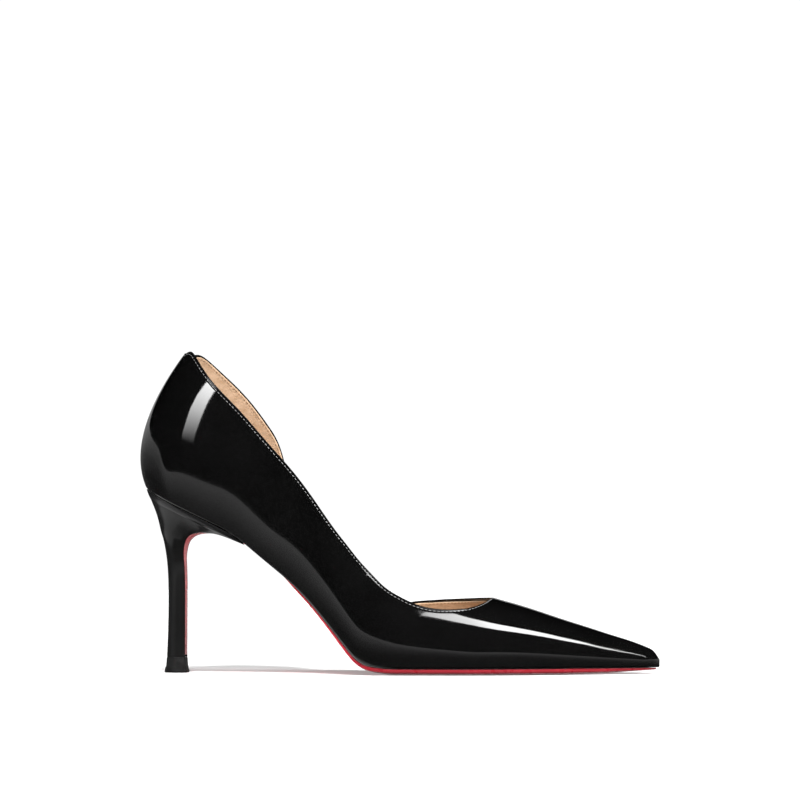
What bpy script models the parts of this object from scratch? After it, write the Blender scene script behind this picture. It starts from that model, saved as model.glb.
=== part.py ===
# Pointed court shoe for the right foot, cut away at the inner waist, on a slim high heel.
# Metres, +X to the toe, -Y to the outer side, +Z up, origin on the floor under the middle.
import math

import bmesh
import bpy
import numpy as np

# Driving dimensions
LENGTH = 0.240            # back of the counter to the tip of the toe
SOLE_WIDTH = 0.0745       # across the turned edge at the ball of the foot
HEEL_RISE = 0.0855        # floor to the back of the heel seat
QUARTER_HEIGHT = 0.062    # heel seat to the top of the back seam
THROAT_HEIGHT = 0.0316    # turned edge to the throat over the toes
WALL = 0.0016             # leather, backing and lining together
INSOLE_THICKNESS = 0.0022
SOLE_THICKNESS = 0.0028   # under the ball of the foot
FLAP_THICKNESS = 0.0008   # sole along the waist and down the heel
GAP = 0.0003              # glue line between neighbouring pieces
TURN_UNDER = 0.0075       # width of the upper's edge under the foot
CUT_RIM = 0.0022          # wall left standing along the inner waist
EDGE_LIFT = 0.0009        # how far the underside of the sole rises at its edge
WAIST_HOLLOW = 0.0016     # how far the waist is hollowed, so that the sole hides in it
HOLLOW_RUN = 0.0030       # width of the slope into that hollow
TIP_HEIGHT = 0.0070       # top piece of the heel
TIP_FLARE = 0.0012        # how far it spreads on each side

# Mesh density and tolerances
SIDE_STATIONS = 64
WALL_ROWS = 9
FINE_FROM, FINE_TO = 0.600, 0.720      # twice as many ribs round the throat
SOLE_STATIONS = 44
RINGS_PER_ROW = 2
FLAP_END_RING = 0.06      # the flap stops just over the top piece
BACK_POINTS = 7
END_EASE = 0.45           # how far the ribs crowd towards both ends
SOLE_EASE = 0.40          # how far the sole's sections crowd towards the toe
HALVINGS = 40
WELD = 0.00002
SLIVER = 0.00001
SMOOTH_ANGLE = 35         # degrees

# Turned edge seen from above, from the back of the heel to the toe.
# along is a share of LENGTH, outer and inner are shares of SOLE_WIDTH from the middle line.
PLAN = (
    # along, outer, inner
    (0.0117, 0.000, 0.000),
    (0.0140, 0.068, 0.068),
    (0.0290, 0.176, 0.175),
    (0.0662, 0.272, 0.271),
    (0.1090, 0.302, 0.302),
    (0.1900, 0.294, 0.286),
    (0.2700, 0.283, 0.252),
    (0.3500, 0.332, 0.272),
    (0.4300, 0.428, 0.364),
    (0.5150, 0.489, 0.460),
    (0.6000, 0.491, 0.497),
    (0.6800, 0.456, 0.476),
    (0.7600, 0.378, 0.412),
    (0.8400, 0.269, 0.323),
    (0.9200, 0.141, 0.213),
    (0.9660, 0.059, 0.145),
    (0.9900, 0.003, 0.099),
    (1.0000, -0.051, 0.051),
)

# Height of the turned edge: climb is the share of the way from the ball up to HEEL_RISE,
# ball is a share of the height at the ball.
SEAT = (
    # along, climb, ball
    (0.0117, 1.000, 1.00),
    (0.0454, 0.943, 1.00),
    (0.0958, 0.870, 1.00),
    (0.1396, 0.810, 1.00),
    (0.1971, 0.715, 1.00),
    (0.2292, 0.638, 1.00),
    (0.2750, 0.528, 1.00),
    (0.3171, 0.423, 1.00),
    (0.3638, 0.2770, 1.00),
    (0.4108, 0.1110, 1.00),
    (0.4342, 0.0400, 1.00),
    (0.4600, 0.0110, 1.00),
    (0.4900, 0.0015, 1.00),
    (0.5300, 0.000, 1.00),
    (0.8200, 0.000, 1.00),
    (0.9200, 0.000, 0.98),
    (1.0000, 0.000, 0.93),
)

# The wall's ribs: each row gives the handles of the rib that rises from one place of the
# turned edge. lean is a handle's distance forward of the edge as a share of LENGTH, spread its
# distance from the middle as a share of the edge's own, low_up its share of the rib's height.
RIBS = (
    # along, low_lean, low_spread, low_up, high_lean, high_spread, crown_lean
    (0.0117, -0.0386, 1.205, 0.285, 0.0175, 1.094, 0.1000),
    (0.1060, 0.0083, 1.205, 0.298, 0.0380, 1.094, 0.0820),
    (0.1880, 0.0080, 1.200, 0.300, 0.0375, 1.100, 0.0667),
    (0.2710, 0.0060, 1.190, 0.300, 0.0250, 1.090, 0.0417),
    (0.3540, 0.0030, 1.190, 0.300, 0.0125, 1.040, 0.0208),
    (0.4380, 0.0008, 1.200, 0.320, 0.0025, 0.950, 0.0042),
    (0.5210, 0.0000, 1.215, 0.360, 0.0000, 0.870, 0.0000),
    (0.6250, 0.0000, 1.215, 0.430, 0.0000, 0.800, 0.0000),
    (0.7500, 0.0000, 1.205, 0.480, 0.0000, 0.740, 0.0000),
    (0.8750, 0.0000, 1.200, 0.520, 0.0000, 0.680, 0.0000),
    (1.0000, 0.0000, 1.200, 0.600, 0.0000, 0.620, 0.0000),
)
ARCH_FROM, ARCH_TO = 0.62, 0.24       # ribs meet over the foot in front, stand apart behind
CROWN_APART = 0.79                    # how far apart they stand, a share of the edge's width
BEHIND_FROM, BEHIND_TO = 0.56, 0.14   # where the upper handle sinks towards the quarters
HIGH_UP_BEHIND = 0.665                # its height there

# Height of the ribs above the turned edge: the ridge of the vamp in front of the throat,
# and behind it what they head for. quarter is a share of QUARTER_HEIGHT, throat of THROAT_HEIGHT.
CROWN = (
    # along, quarter, throat
    (0.0117, 1.137, 0.000),
    (0.1060, 1.332, 0.000),
    (0.1880, 1.267, 0.000),
    (0.2710, 1.160, 0.000),
    (0.3540, 1.048, 0.000),
    (0.4380, 0.690, 0.470),
    (0.5210, 0.250, 1.030),
    (0.6000, 0.000, 1.240),
    (0.6840, 0.000, 1.000),
    (0.7230, 0.000, 0.916),
    (0.7690, 0.000, 0.808),
    (0.8150, 0.000, 0.690),
    (0.8610, 0.000, 0.580),
    (0.9080, 0.000, 0.465),
    (0.9540, 0.000, 0.355),
    (0.9770, 0.000, 0.287),
    (0.9900, 0.000, 0.224),
    (1.0000, 0.000, 0.112),
)

# The wall's upper edge above the turned edge straight below, on the outer side.
OUTER_EDGE = (
    # along, quarter, throat
    (0.0904, 1.160, 0.0),
    (0.1030, 1.192, 0.0),
    (0.1163, 1.160, 0.0),
    (0.1373, 1.082, 0.0),
    (0.1604, 1.018, 0.0),
    (0.1896, 0.969, 0.0),
    (0.2208, 0.933, 0.0),
    (0.2517, 0.894, 0.0),
    (0.2979, 0.838, 0.0),
    (0.3404, 0.787, 0.0),
    (0.3870, 0.748, 0.0),
    (0.4342, 0.729, 0.0),
    (0.4575, 0.320, 0.687),
    (0.4808, 0.140, 0.890),
    (0.5038, 0.000, 1.055),
    (0.5488, 0.000, 0.899),
    (0.6150, 0.000, 0.839),
    (0.6579, 0.000, 0.892),
    (0.6742, 0.000, 0.950),
    (0.6840, 0.000, 1.000),
)

# The same on the inner side, behind the cut-out and in front of it.
INNER_QUARTER_EDGE = (
    # along, quarter, throat
    (0.0904, 1.160, 0.0),
    (0.1030, 1.195, 0.0),
    (0.1163, 1.189, 0.0),
    (0.1373, 1.152, 0.0),
    (0.1604, 1.112, 0.0),
    (0.1896, 1.064, 0.0),
    (0.2083, 1.034, 0.0),
    (0.2250, 1.004, 0.0),
    (0.2396, 0.973, 0.0),
    (0.2513, 0.939, 0.0),
    (0.2613, 0.880, 0.0),
    (0.2700, 0.785, 0.0),
    (0.2792, 0.635, 0.0),
    (0.2896, 0.440, 0.0),
    (0.3000, 0.285, 0.0),
    (0.3104, 0.150, 0.0),
    (0.3230, 0.035, 0.0),
)
INNER_VAMP_EDGE = (
    # along, quarter, throat
    (0.4250, 0.0, 0.070),
    (0.4354, 0.0, 0.255),
    (0.4500, 0.0, 0.510),
    (0.4750, 0.0, 0.775),
    (0.5083, 0.0, 0.908),
    (0.5500, 0.0, 0.946),
    (0.5833, 0.0, 0.965),
    (0.6250, 0.0, 0.981),
    (0.6583, 0.0, 0.994),
    (0.6840, 0.0, 1.000),
)

# Where the waist is hollowed underneath, as shares of LENGTH.
HOLLOW_BACK, HOLLOW_FRONT, HOLLOW_FADE = 0.130, 0.330, 0.060

# The upper's margin under the foot and the insole over it
FOREPART = 0.5            # in front of this share of LENGTH the margin narrows with the toe
TOE_MARGIN = 0.42         # share of the half width that it covers there
MARGIN_SLOPE = 0.4        # share of the margin that can slope into the hollow
INSOLE_INSET = 1.25 * (WALL + GAP)
INSOLE_END = 0.955        # share of LENGTH where the insole ends

# The sole in front of the heel: thick is a share of SOLE_THICKNESS.
SOLE_SECTIONS = (
    # along, thick, inset from the turned edge
    (0.2200, 0.2860, 0.0038),
    (0.2750, 0.3100, 0.0036),
    (0.3150, 0.3700, 0.0026),
    (0.3700, 0.4700, 0.0014),
    (0.4200, 0.6300, 0.0009),
    (0.4600, 0.8700, 0.0006),
    (0.4950, 1.0000, 0.0005),
    (0.8200, 1.0000, 0.0005),
    (0.9000, 0.7800, 0.0008),
    (1.0000, 0.2400, 0.0016),
)
FLAT_SHARE = 0.72         # share of the half width that is flat underneath

# The heel, ring by ring up to the seat. back and front are shares of LENGTH, their heights
# shares of HEEL_RISE, half a share of SOLE_WIDTH, round the share of the depth that is rounded.
HEEL_RINGS = (
    # back, back_up, front, front_up, half, round
    (0.0521, 0.0900, 0.0892, 0.0900, 0.0550, 0.58),
    (0.0542, 0.2810, 0.0892, 0.2810, 0.0550, 0.58),
    (0.0542, 0.4740, 0.0890, 0.4740, 0.0560, 0.58),
    (0.0521, 0.5840, 0.0877, 0.5820, 0.0610, 0.58),
    (0.0496, 0.6420, 0.0868, 0.6320, 0.0730, 0.58),
    (0.0450, 0.7130, 0.0892, 0.6900, 0.0970, 0.57),
    (0.0396, 0.7660, 0.0963, 0.7290, 0.1300, 0.56),
    (0.0350, 0.8210, 0.1138, 0.7520, 0.1700, 0.55),
    (0.0283, 0.8810, 0.1471, 0.7500, 0.2180, 0.53),
    (0.0200, 0.9390, 0.1775, 0.7275, 0.2580, 0.51),
)
WING_FRONT = 0.2120       # tips of the heel's wings under the waist, a share of LENGTH
SEAT_BACK = 0.0133
SEAT_HALF = 0.2870
SEAT_ROUND = 0.49
SEAT_INSET = 0.0004       # heel inside the turned edge
WING_INNER = 0.84         # inner side of a wing, a share of the half width
WING_SIDE = (             # outline of one side in front of the round back
    # share of half width, share of depth from the front
    (0.970, 0.000),
    (1.000, 0.060),
    (1.000, 0.190),
    (1.000, 0.320),
)

# The top piece from its top down, as shares of TIP_HEIGHT and TIP_FLARE
TIP_ROWS = (
    # height, spread
    (1.000, 0.080),
    (0.500, 0.350),
    (0.086, 1.000),
    (0.000, 0.800),
)

# Leather and rubber
BLACK = (0.006, 0.006, 0.007)
RED = (0.52, 0.022, 0.038)
TAN = (0.62, 0.41, 0.24)
RUBBER = (0.012, 0.012, 0.012)


def spline(xs, ys, flat=(False, False)):
    """A smooth curve through points, level at the ends that flat names."""
    xs, ys = np.array(xs, float), np.array(ys, float)
    last, step = len(xs) - 1, np.diff(xs)
    slope = np.diff(ys) / step
    matrix, right = np.zeros((last + 1, last + 1)), np.zeros(last + 1)
    for i in range(1, last):
        matrix[i, i - 1], matrix[i, i + 1] = step[i], step[i - 1]
        matrix[i, i] = 2 * (step[i - 1] + step[i])
        right[i] = 3 * (slope[i - 1] * step[i] + slope[i] * step[i - 1])
    for end, near, span, level in ((0, 1, 0, flat[0]), (last, last - 1, last - 1, flat[1])):
        matrix[end, end] = 1 if level else 2
        matrix[end, near] = 0 if level else 1
        right[end] = 0 if level else 3 * slope[span]
    tangents = np.linalg.solve(matrix, right)

    def value(x):
        i = int(np.clip(np.searchsorted(xs, x) - 1, 0, last - 1))
        t = min(max((x - xs[i]) / step[i], 0.0), 1.0)
        before = (1 + 2 * t) * ys[i] + t * step[i] * tangents[i]
        after = (3 - 2 * t) * ys[i + 1] - (1 - t) * step[i] * tangents[i + 1]
        return float((1 - t) ** 2 * before + t * t * after)

    return value


def column(table, index, flat=(False, False)):
    """One column of a table as a smooth curve over its first column."""
    return spline([row[0] for row in table], [row[index] for row in table], flat)


def straight(table, index):
    """One column of a table with straight runs between its rows."""
    xs, ys = [row[0] for row in table], [row[index] for row in table]
    return lambda x: float(np.interp(x, xs, ys))


def heights(table):
    """A table's quarter and throat shares as one smooth curve of real heights."""
    rises = [row[1] * QUARTER_HEIGHT + row[2] * THROAT_HEIGHT for row in table]
    return spline([row[0] for row in table], rises)


def soft_step(x):
    """From 0 to 1 with soft ends."""
    x = min(max(x, 0.0), 1.0)
    return x ** 3 * (10 - 15 * x + 6 * x * x)


def run_of_plan():
    """Distance along the turned edge to each row of PLAN, as a share of the whole."""
    run = [0.0]
    for last, row in zip(PLAN, PLAN[1:]):
        forward = (row[0] - last[0]) * LENGTH
        outward = (row[1] + row[2] - last[1] - last[2]) / 2 * SOLE_WIDTH
        run.append(run[-1] + math.hypot(forward, outward))
    return [value / run[-1] for value in run]


OUTER, INNER = -1, 1
RUN = run_of_plan()
PLAN_ALONG = spline(RUN, [row[0] for row in PLAN], (True, True))
PLAN_SIDE = {
    OUTER: spline(RUN, [row[1] * SOLE_WIDTH for row in PLAN]),
    INNER: spline(RUN, [row[2] * SOLE_WIDTH for row in PLAN]),
}
CLIMB_ROWS = [row for row in SEAT if row[1] > 0] + [row for row in SEAT if row[1] == 0][:1]
CLIMB = column(CLIMB_ROWS, 1, (False, True))
BALL_SHARE = column([row for row in SEAT if row[1] == 0][1:], 2, (True, False))
RIB_COLUMNS = [column(RIBS, index) for index in range(1, 7)]
CROWN_UP = heights(CROWN)
OUTER_TOP = heights(OUTER_EDGE)
INNER_QUARTER_TOP = heights(INNER_QUARTER_EDGE)
INNER_VAMP_TOP = heights(INNER_VAMP_EDGE)
THROAT = OUTER_EDGE[-1][0]
TOE_MIDDLE = (PLAN[-1][2] - PLAN[-1][1]) / 2 * SOLE_WIDTH
SWING_FROM = 0.42
BALL_HEIGHT = SOLE_THICKNESS + GAP


def to_x(along):
    return (along - 0.5) * LENGTH


def to_along(x):
    return x / LENGTH + 0.5


def middle(along):
    """The shoe's middle line swings to the inner side at the toe."""
    return TOE_MIDDLE * max(0.0, (along - SWING_FROM) / (1 - SWING_FROM)) ** 2


def seat_height(along):
    """Height of the turned edge over the floor."""
    return CLIMB(along) * (HEEL_RISE - BALL_HEIGHT) + BALL_SHARE(along) * BALL_HEIGHT


def hollow(along):
    """How far the underside is hollowed at the waist."""
    back = soft_step((along - HOLLOW_BACK) / HOLLOW_FADE)
    front = soft_step((HOLLOW_FRONT - along) / HOLLOW_FADE)
    return WAIST_HOLLOW * back * front


def seat_normal(along):
    """Unit vector square to the seat, in x and z, pointing up into the shoe."""
    step = 0.002
    rise = (seat_height(along + step) - seat_height(along - step)) / (2 * step * LENGTH)
    return np.array((-rise, 1.0)) / math.hypot(rise, 1.0)


def run_at(along):
    """Share of the plan's run at one share of the length, found by halving."""
    low, high = 0.0, 1.0
    for _ in range(HALVINGS):
        half = (low + high) / 2
        if PLAN_ALONG(half) < along:
            low = half
        else:
            high = half
    return (low + high) / 2


def edge_point(side, run):
    """A point of the turned edge."""
    along = PLAN_ALONG(run)
    return np.array((to_x(along), side * PLAN_SIDE[side](run), seat_height(along)))


def inward(side, run):
    """Unit vector in plan, from the turned edge to the inside."""
    if run <= 0 or run >= 1:
        return np.array((1.0 if run <= 0 else -1.0, 0.0))
    step = 0.003
    ahead = edge_point(side, min(run + step, 1.0)) - edge_point(side, max(run - step, 0.0))
    return side * np.array((ahead[1], -ahead[0])) / math.hypot(ahead[0], ahead[1])


def inset_point(side, run, distance, lift):
    """A point inside the turned edge, lifted square to the seat."""
    spot = edge_point(side, run)[:2] + inward(side, run) * distance
    along = to_along(spot[0])
    level = seat_height(along) + hollow(along) * min(1.0, distance / HOLLOW_RUN)
    normal = seat_normal(along)
    return np.array((spot[0] + normal[0] * lift, spot[1], level + normal[1] * lift))


def rib(side, run):
    """The four handles of the rib that rises from one point of the turned edge."""
    foot = edge_point(side, run)
    along = to_along(foot[0])
    low_lean, low_spread, low_up, high_lean, high_spread, crown_lean = (
        value(along) for value in RIB_COLUMNS)
    height = CROWN_UP(along)
    apart = CROWN_APART * soft_step((ARCH_FROM - along) / (ARCH_FROM - ARCH_TO))
    behind = soft_step((BEHIND_FROM - along) / (BEHIND_FROM - BEHIND_TO))
    high_up = 1 - (1 - HIGH_UP_BEHIND) * behind
    centre = middle(along)

    def handle(lean, spread, up):
        out = centre + (foot[1] - centre) * spread
        return np.array((foot[0] + lean * LENGTH, out, foot[2] + up * height))

    low = handle(low_lean, low_spread, low_up)
    high = handle(high_lean, high_spread, high_up)
    return foot, low, high, handle(crown_lean, apart, 1.0)


def on_rib(handles, t):
    foot, low, high, crown = handles
    rise = foot * (1 - t) ** 3 + low * 3 * t * (1 - t) ** 2
    return rise + high * 3 * t * t * (1 - t) + crown * t ** 3


def top_height(side, along):
    """Height of the wall's upper edge over the floor."""
    rise = CUT_RIM
    if side == OUTER:
        rise = OUTER_TOP(along)
    elif along <= INNER_QUARTER_EDGE[-1][0]:
        rise = max(rise, INNER_QUARTER_TOP(along))
    elif along >= INNER_VAMP_EDGE[0][0]:
        rise = max(rise, INNER_VAMP_TOP(along))
    return seat_height(along) + rise


def rib_top(side, handles):
    """How far up its rib the wall ends, found by halving."""
    low, high = 0.0, 1.0
    for _ in range(HALVINGS):
        half = (low + high) / 2
        point = on_rib(handles, half)
        along = to_along(point[0])
        if along >= THROAT or point[2] < top_height(side, along):
            low = half
        else:
            high = half
    return high


def stations():
    """Shares of the plan's run, closer together at both ends, one of them at the throat."""
    shares = []
    for i in range(SIDE_STATIONS + 1):
        share = i / SIDE_STATIONS
        eased = (1 - math.cos(math.pi * share)) / 2
        shares.append(share + (eased - share) * END_EASE)
    throat = run_at(THROAT)
    nearest = min(range(len(shares)), key=lambda i: abs(shares[i] - throat))
    shares[nearest] = throat
    first, last = run_at(FINE_FROM), run_at(FINE_TO)
    for here, there in list(zip(shares, shares[1:])):
        if first < here and there < last:
            shares.append((here + there) / 2)
    return sorted(shares)


def wall_column(side, run):
    """Points from the margin's inner edge, round the turned edge and up to the topline."""
    along = PLAN_ALONG(run)
    half = abs(edge_point(side, run)[1] - middle(along))
    reach = TURN_UNDER if along < FOREPART else min(TURN_UNDER, WALL + TOE_MARGIN * half)
    slope_end = min(HOLLOW_RUN, MARGIN_SLOPE * reach)
    points = [inset_point(side, run, reach, 0.0), inset_point(side, run, slope_end, 0.0)]
    handles = rib(side, run)
    top = rib_top(side, handles)
    points += [on_rib(handles, top * row / WALL_ROWS) for row in range(WALL_ROWS + 1)]
    return points


def sheet(bm, columns, flip):
    """Faces between neighbouring columns of points."""
    verts = [[bm.verts.new(point) for point in points] for points in columns]
    for here, there in zip(verts, verts[1:]):
        for row in range(len(here) - 1):
            corners = [here[row], there[row], there[row + 1], here[row + 1]]
            bm.faces.new(corners[::-1] if flip else corners)
    return verts


def clean(bm):
    bmesh.ops.remove_doubles(bm, verts=bm.verts, dist=WELD)
    bmesh.ops.dissolve_degenerate(bm, edges=bm.edges, dist=SLIVER)


def material(name, colour, roughness, coat=0.0):
    made = bpy.data.materials.new(name)
    made.use_nodes = True
    shader = made.node_tree.nodes["Principled BSDF"]
    shader.inputs["Base Color"].default_value = (*colour, 1.0)
    shader.inputs["Roughness"].default_value = roughness
    shader.inputs["Metallic"].default_value = 0.0
    shader.inputs["Coat Weight"].default_value = coat
    made.diffuse_color = (*colour, 1.0)
    return made


def add_object(name, bm, finish):
    """A named object from a bmesh, shaded smooth up to SMOOTH_ANGLE."""
    mesh = bpy.data.meshes.new(name)
    bm.to_mesh(mesh)
    bm.free()
    mesh.shade_smooth()
    mesh.set_sharp_from_angle(angle=math.radians(SMOOTH_ANGLE))
    thing = bpy.data.objects.new(name, mesh)
    thing.data.materials.append(finish)
    bpy.data.collections["court_shoe"].objects.link(thing)
    return thing


def make_upper():
    """One open sheet, from the margin under the foot to the topline, given its thickness."""
    bm = bmesh.new()
    for side in (OUTER, INNER):
        sheet(bm, [wall_column(side, run) for run in stations()], side == INNER)
    clean(bm)
    upper = add_object("upper", bm, material("patent_leather", BLACK, 0.12, 1.0))
    wall = upper.modifiers.new("wall", "SOLIDIFY")
    wall.thickness = WALL
    wall.offset = -1.0
    wall.use_rim = True


def closed_loft(rings):
    """A solid through rings of points, closed by a face at each end."""
    bm = bmesh.new()
    verts = [[bm.verts.new(point) for point in ring] for ring in rings]
    for here, there in zip(verts, verts[1:]):
        for i in range(len(here)):
            j = (i + 1) % len(here)
            bm.faces.new((here[i], here[j], there[j], there[i]))
    return bm, verts


def make_insole():
    """Board and sock inside the wall, from the heel to just behind the toe tip."""
    toe_run = run_at(INSOLE_END)
    under, over = WALL + GAP, WALL + GAP + INSOLE_THICKNESS
    rings = []
    for i in range(SOLE_STATIONS + 1):
        share = i / SOLE_STATIONS
        eased = (1 - math.cos(math.pi * share)) / 2
        run = toe_run * (share + (eased - share) * SOLE_EASE)
        ring = [inset_point(side, run, INSOLE_INSET, lift)
                for side, lift in ((OUTER, under), (OUTER, over), (INNER, over), (INNER, under))]
        for point in ring:
            point[2] += hollow(to_along(point[0])) * (1 - INSOLE_INSET / HOLLOW_RUN)
        rings.append(ring)
    bm, verts = closed_loft(rings)
    bm.faces.new(verts[-1])
    bm.faces.new(verts[0][::-1])
    clean(bm)
    bmesh.ops.recalc_face_normals(bm, faces=bm.faces)
    add_object("insole", bm, material("lining_leather", TAN, 0.55))


def sole_section(run, thick, inset):
    """One section of the sole: flat underneath, with its edges lifted."""
    outer, inner = (inset_point(side, run, inset, -GAP) for side in (OUTER, INNER))
    along = to_along(outer[0])
    normal = seat_normal(along)
    down = np.array((-normal[0], 0.0, -normal[1]))
    lift = EDGE_LIFT * min(1.0, thick / SOLE_THICKNESS)
    centre = (outer + inner) / 2
    ring = [outer, outer + down * (thick - lift), centre + (outer - centre) * FLAT_SHARE,
            centre + (inner - centre) * FLAT_SHARE, inner + down * (thick - lift), inner]
    ring[2] = ring[2] + down * thick
    ring[3] = ring[3] + down * thick
    return ring


def heel_lines():
    """The heel's columns as smooth curves over the ring number, the seat last."""
    seat_rise = [seat_height(share) - GAP for share in (SEAT_BACK, WING_FRONT)]
    rows = [[to_x(r[0]), r[1] * HEEL_RISE, to_x(r[2]), r[3] * HEEL_RISE,
             r[4] * SOLE_WIDTH, r[5]] for r in HEEL_RINGS]
    rows[0][1] = rows[0][3] = TIP_HEIGHT + GAP
    rows.append([to_x(SEAT_BACK), seat_rise[0], to_x(WING_FRONT), seat_rise[1],
                 SEAT_HALF * SOLE_WIDTH, SEAT_ROUND])
    return [spline(range(len(rows)), values) for values in zip(*rows)]


HEEL_LINES = heel_lines()
SEAT_RING = len(HEEL_RINGS)


def front_normal(ring):
    """Unit vector in x and z, square to the heel's front line, into the heel."""
    step = 0.05
    low, high = max(ring - step, 0.0), min(ring + step, SEAT_RING)
    ahead = HEEL_LINES[2](high) - HEEL_LINES[2](low)
    rise = HEEL_LINES[3](high) - HEEL_LINES[3](low)
    return np.array((-rise, ahead)) / math.hypot(ahead, rise)


def recess_half(ring):
    return HEEL_LINES[4](ring) * WING_INNER


def front_point(ring, side, half, depth):
    """A point on or behind the heel's front line."""
    normal = front_normal(ring)
    x = HEEL_LINES[2](ring) + normal[0] * depth
    return np.array((x, side * half, HEEL_LINES[3](ring) + normal[1] * depth))


def heel_ring(ring):
    """One ring: the recess for the flap, the two wings, the sides and the round back."""
    back_x, back_z, front_x, front_z, half, rounded = (line(ring) for line in HEEL_LINES)
    into_seat = min(max(ring - (SEAT_RING - 1), 0.0), 1.0)
    outline = [(WING_INNER, 0.0)] + list(WING_SIDE)
    for i in range(BACK_POINTS + 1):
        angle = math.pi / 2 * i / BACK_POINTS
        outline.append((math.cos(angle), 1 - rounded + rounded * math.sin(angle)))
    points = {OUTER: [], INNER: []}
    for side in (OUTER, INNER):
        depth = FLAP_THICKNESS + GAP
        points[side].append(front_point(ring, side, recess_half(ring), depth))
        for across, deep in outline:
            x = front_x + (back_x - front_x) * deep
            z = front_z + (back_z - front_z) * deep
            own = half * across
            edge = PLAN_SIDE[side](run_at(to_along(x))) - SEAT_INSET
            flush = edge * across if deep <= 1 - rounded else edge
            if deep >= 1:
                flush = 0.0
            y = own + (flush - own) * into_seat
            points[side].append(np.array((x, side * max(y, 0.0), z)))
    if ring >= SEAT_RING:
        for side in (OUTER, INNER):
            for point in points[side][1:]:
                point[2] = seat_height(to_along(point[0])) - GAP
            cross = points[side][len(WING_SIDE)]
            points[side][0] = np.array((cross[0], points[side][0][1], cross[2]))
    return points[OUTER] + points[INNER][-2::-1]


def make_heel():
    rings = [heel_ring(i / RINGS_PER_ROW) for i in range(SEAT_RING * RINGS_PER_ROW + 1)]
    bm, verts = closed_loft(rings)
    bm.faces.new(verts[0])
    seat, count = verts[-1], len(verts[-1])
    cross = len(WING_SIDE)
    bm.faces.new(seat[:cross + 1])
    bm.faces.new(seat[count - cross - 1:])
    bm.faces.new((seat[0], seat[cross], seat[count - 1 - cross], seat[-1]))
    for i in range(cross, count // 2 - 1):
        bm.faces.new((seat[i], seat[i + 1], seat[count - 2 - i], seat[count - 1 - i]))
    middle_vert = count // 2
    bm.faces.new((seat[middle_vert - 1], seat[middle_vert], seat[middle_vert + 1]))
    clean(bm)
    bmesh.ops.recalc_face_normals(bm, faces=bm.faces)
    add_object("heel", bm, material("heel_cover", BLACK, 0.14, 1.0))


def make_outsole():
    """One strip: toe, ball, waist, and the flap down the front of the heel."""
    thick, inset = straight(SOLE_SECTIONS, 1), straight(SOLE_SECTIONS, 2)
    first, last = run_at(SOLE_SECTIONS[0][0]), 1.0
    rings = []
    for i in range(SOLE_STATIONS + 1):
        share = i / SOLE_STATIONS
        eased = math.sin(math.pi / 2 * share)
        run = first + (last - first) * (share + (eased - share) * SOLE_EASE)
        along = PLAN_ALONG(run)
        rings.append(sole_section(run, thick(along) * SOLE_THICKNESS, inset(along)))
    rings.reverse()
    steps = (SEAT_RING - 1) * RINGS_PER_ROW
    for i in range(steps + 1):
        ring = (SEAT_RING - 1) + (FLAP_END_RING - (SEAT_RING - 1)) * i / steps
        half = recess_half(ring) - GAP
        inner, outer = FLAP_THICKNESS, 0.0
        middle_half = half * FLAT_SHARE
        rings.append([
            front_point(ring, OUTER, half, inner), front_point(ring, OUTER, half, outer),
            front_point(ring, OUTER, middle_half, outer),
            front_point(ring, INNER, middle_half, outer),
            front_point(ring, INNER, half, outer), front_point(ring, INNER, half, inner)])
    bm, verts = closed_loft(rings)
    bm.faces.new(verts[-1])
    bm.faces.new(verts[0][::-1])
    clean(bm)
    bmesh.ops.recalc_face_normals(bm, faces=bm.faces)
    add_object("outsole", bm, material("red_sole", RED, 0.3, 0.3))


def make_heel_tip():
    """Top piece: the stem's own outline, spreading to the floor."""
    stem = heel_ring(0.0)[1:-1]
    centre = np.mean([(point[0], point[1]) for point in stem], axis=0)
    rings = []
    for height, spread in TIP_ROWS:
        ring = []
        for point in stem:
            away = point[:2] - centre
            spot = point[:2] + away / np.linalg.norm(away) * spread * TIP_FLARE
            ring.append(np.array((spot[0], spot[1], height * TIP_HEIGHT)))
        rings.append(ring)
    bm, verts = closed_loft(rings)
    bm.faces.new(verts[-1])
    bm.faces.new(verts[0][::-1])
    clean(bm)
    bmesh.ops.recalc_face_normals(bm, faces=bm.faces)
    add_object("heel_tip", bm, material("tip_rubber", RUBBER, 0.35))


def main():
    for thing in list(bpy.data.objects):
        bpy.data.objects.remove(thing, do_unlink=True)
    shoe = bpy.data.collections.new("court_shoe")
    bpy.context.scene.collection.children.link(shoe)
    make_upper()
    make_insole()
    make_outsole()
    make_heel()
    make_heel_tip()


main()
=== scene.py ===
# Dorsay pump in black patent leather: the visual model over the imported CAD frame.
import math

import bmesh
import bpy
import numpy as np
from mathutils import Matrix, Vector
from mathutils.interpolate import poly_3d_calc


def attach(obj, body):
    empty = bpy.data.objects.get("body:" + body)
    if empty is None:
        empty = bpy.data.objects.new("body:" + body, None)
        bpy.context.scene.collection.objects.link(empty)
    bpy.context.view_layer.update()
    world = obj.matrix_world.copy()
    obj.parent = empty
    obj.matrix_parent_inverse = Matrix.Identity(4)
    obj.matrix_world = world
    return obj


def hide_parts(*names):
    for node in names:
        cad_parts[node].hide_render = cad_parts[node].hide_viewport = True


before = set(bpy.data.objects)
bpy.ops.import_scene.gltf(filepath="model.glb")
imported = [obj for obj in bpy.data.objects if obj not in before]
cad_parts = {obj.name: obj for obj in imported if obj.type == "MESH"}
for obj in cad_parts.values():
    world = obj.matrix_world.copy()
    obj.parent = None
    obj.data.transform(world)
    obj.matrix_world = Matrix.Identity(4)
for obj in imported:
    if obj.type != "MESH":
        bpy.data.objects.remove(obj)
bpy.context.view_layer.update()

# Driving dimensions
LENGTH = 0.240            # back of the counter to the tip of the toe
SOLE_WIDTH = 0.0745       # across the turned edge at the ball of the foot
HEEL_RISE = 0.0855        # floor to the back of the heel seat
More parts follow.
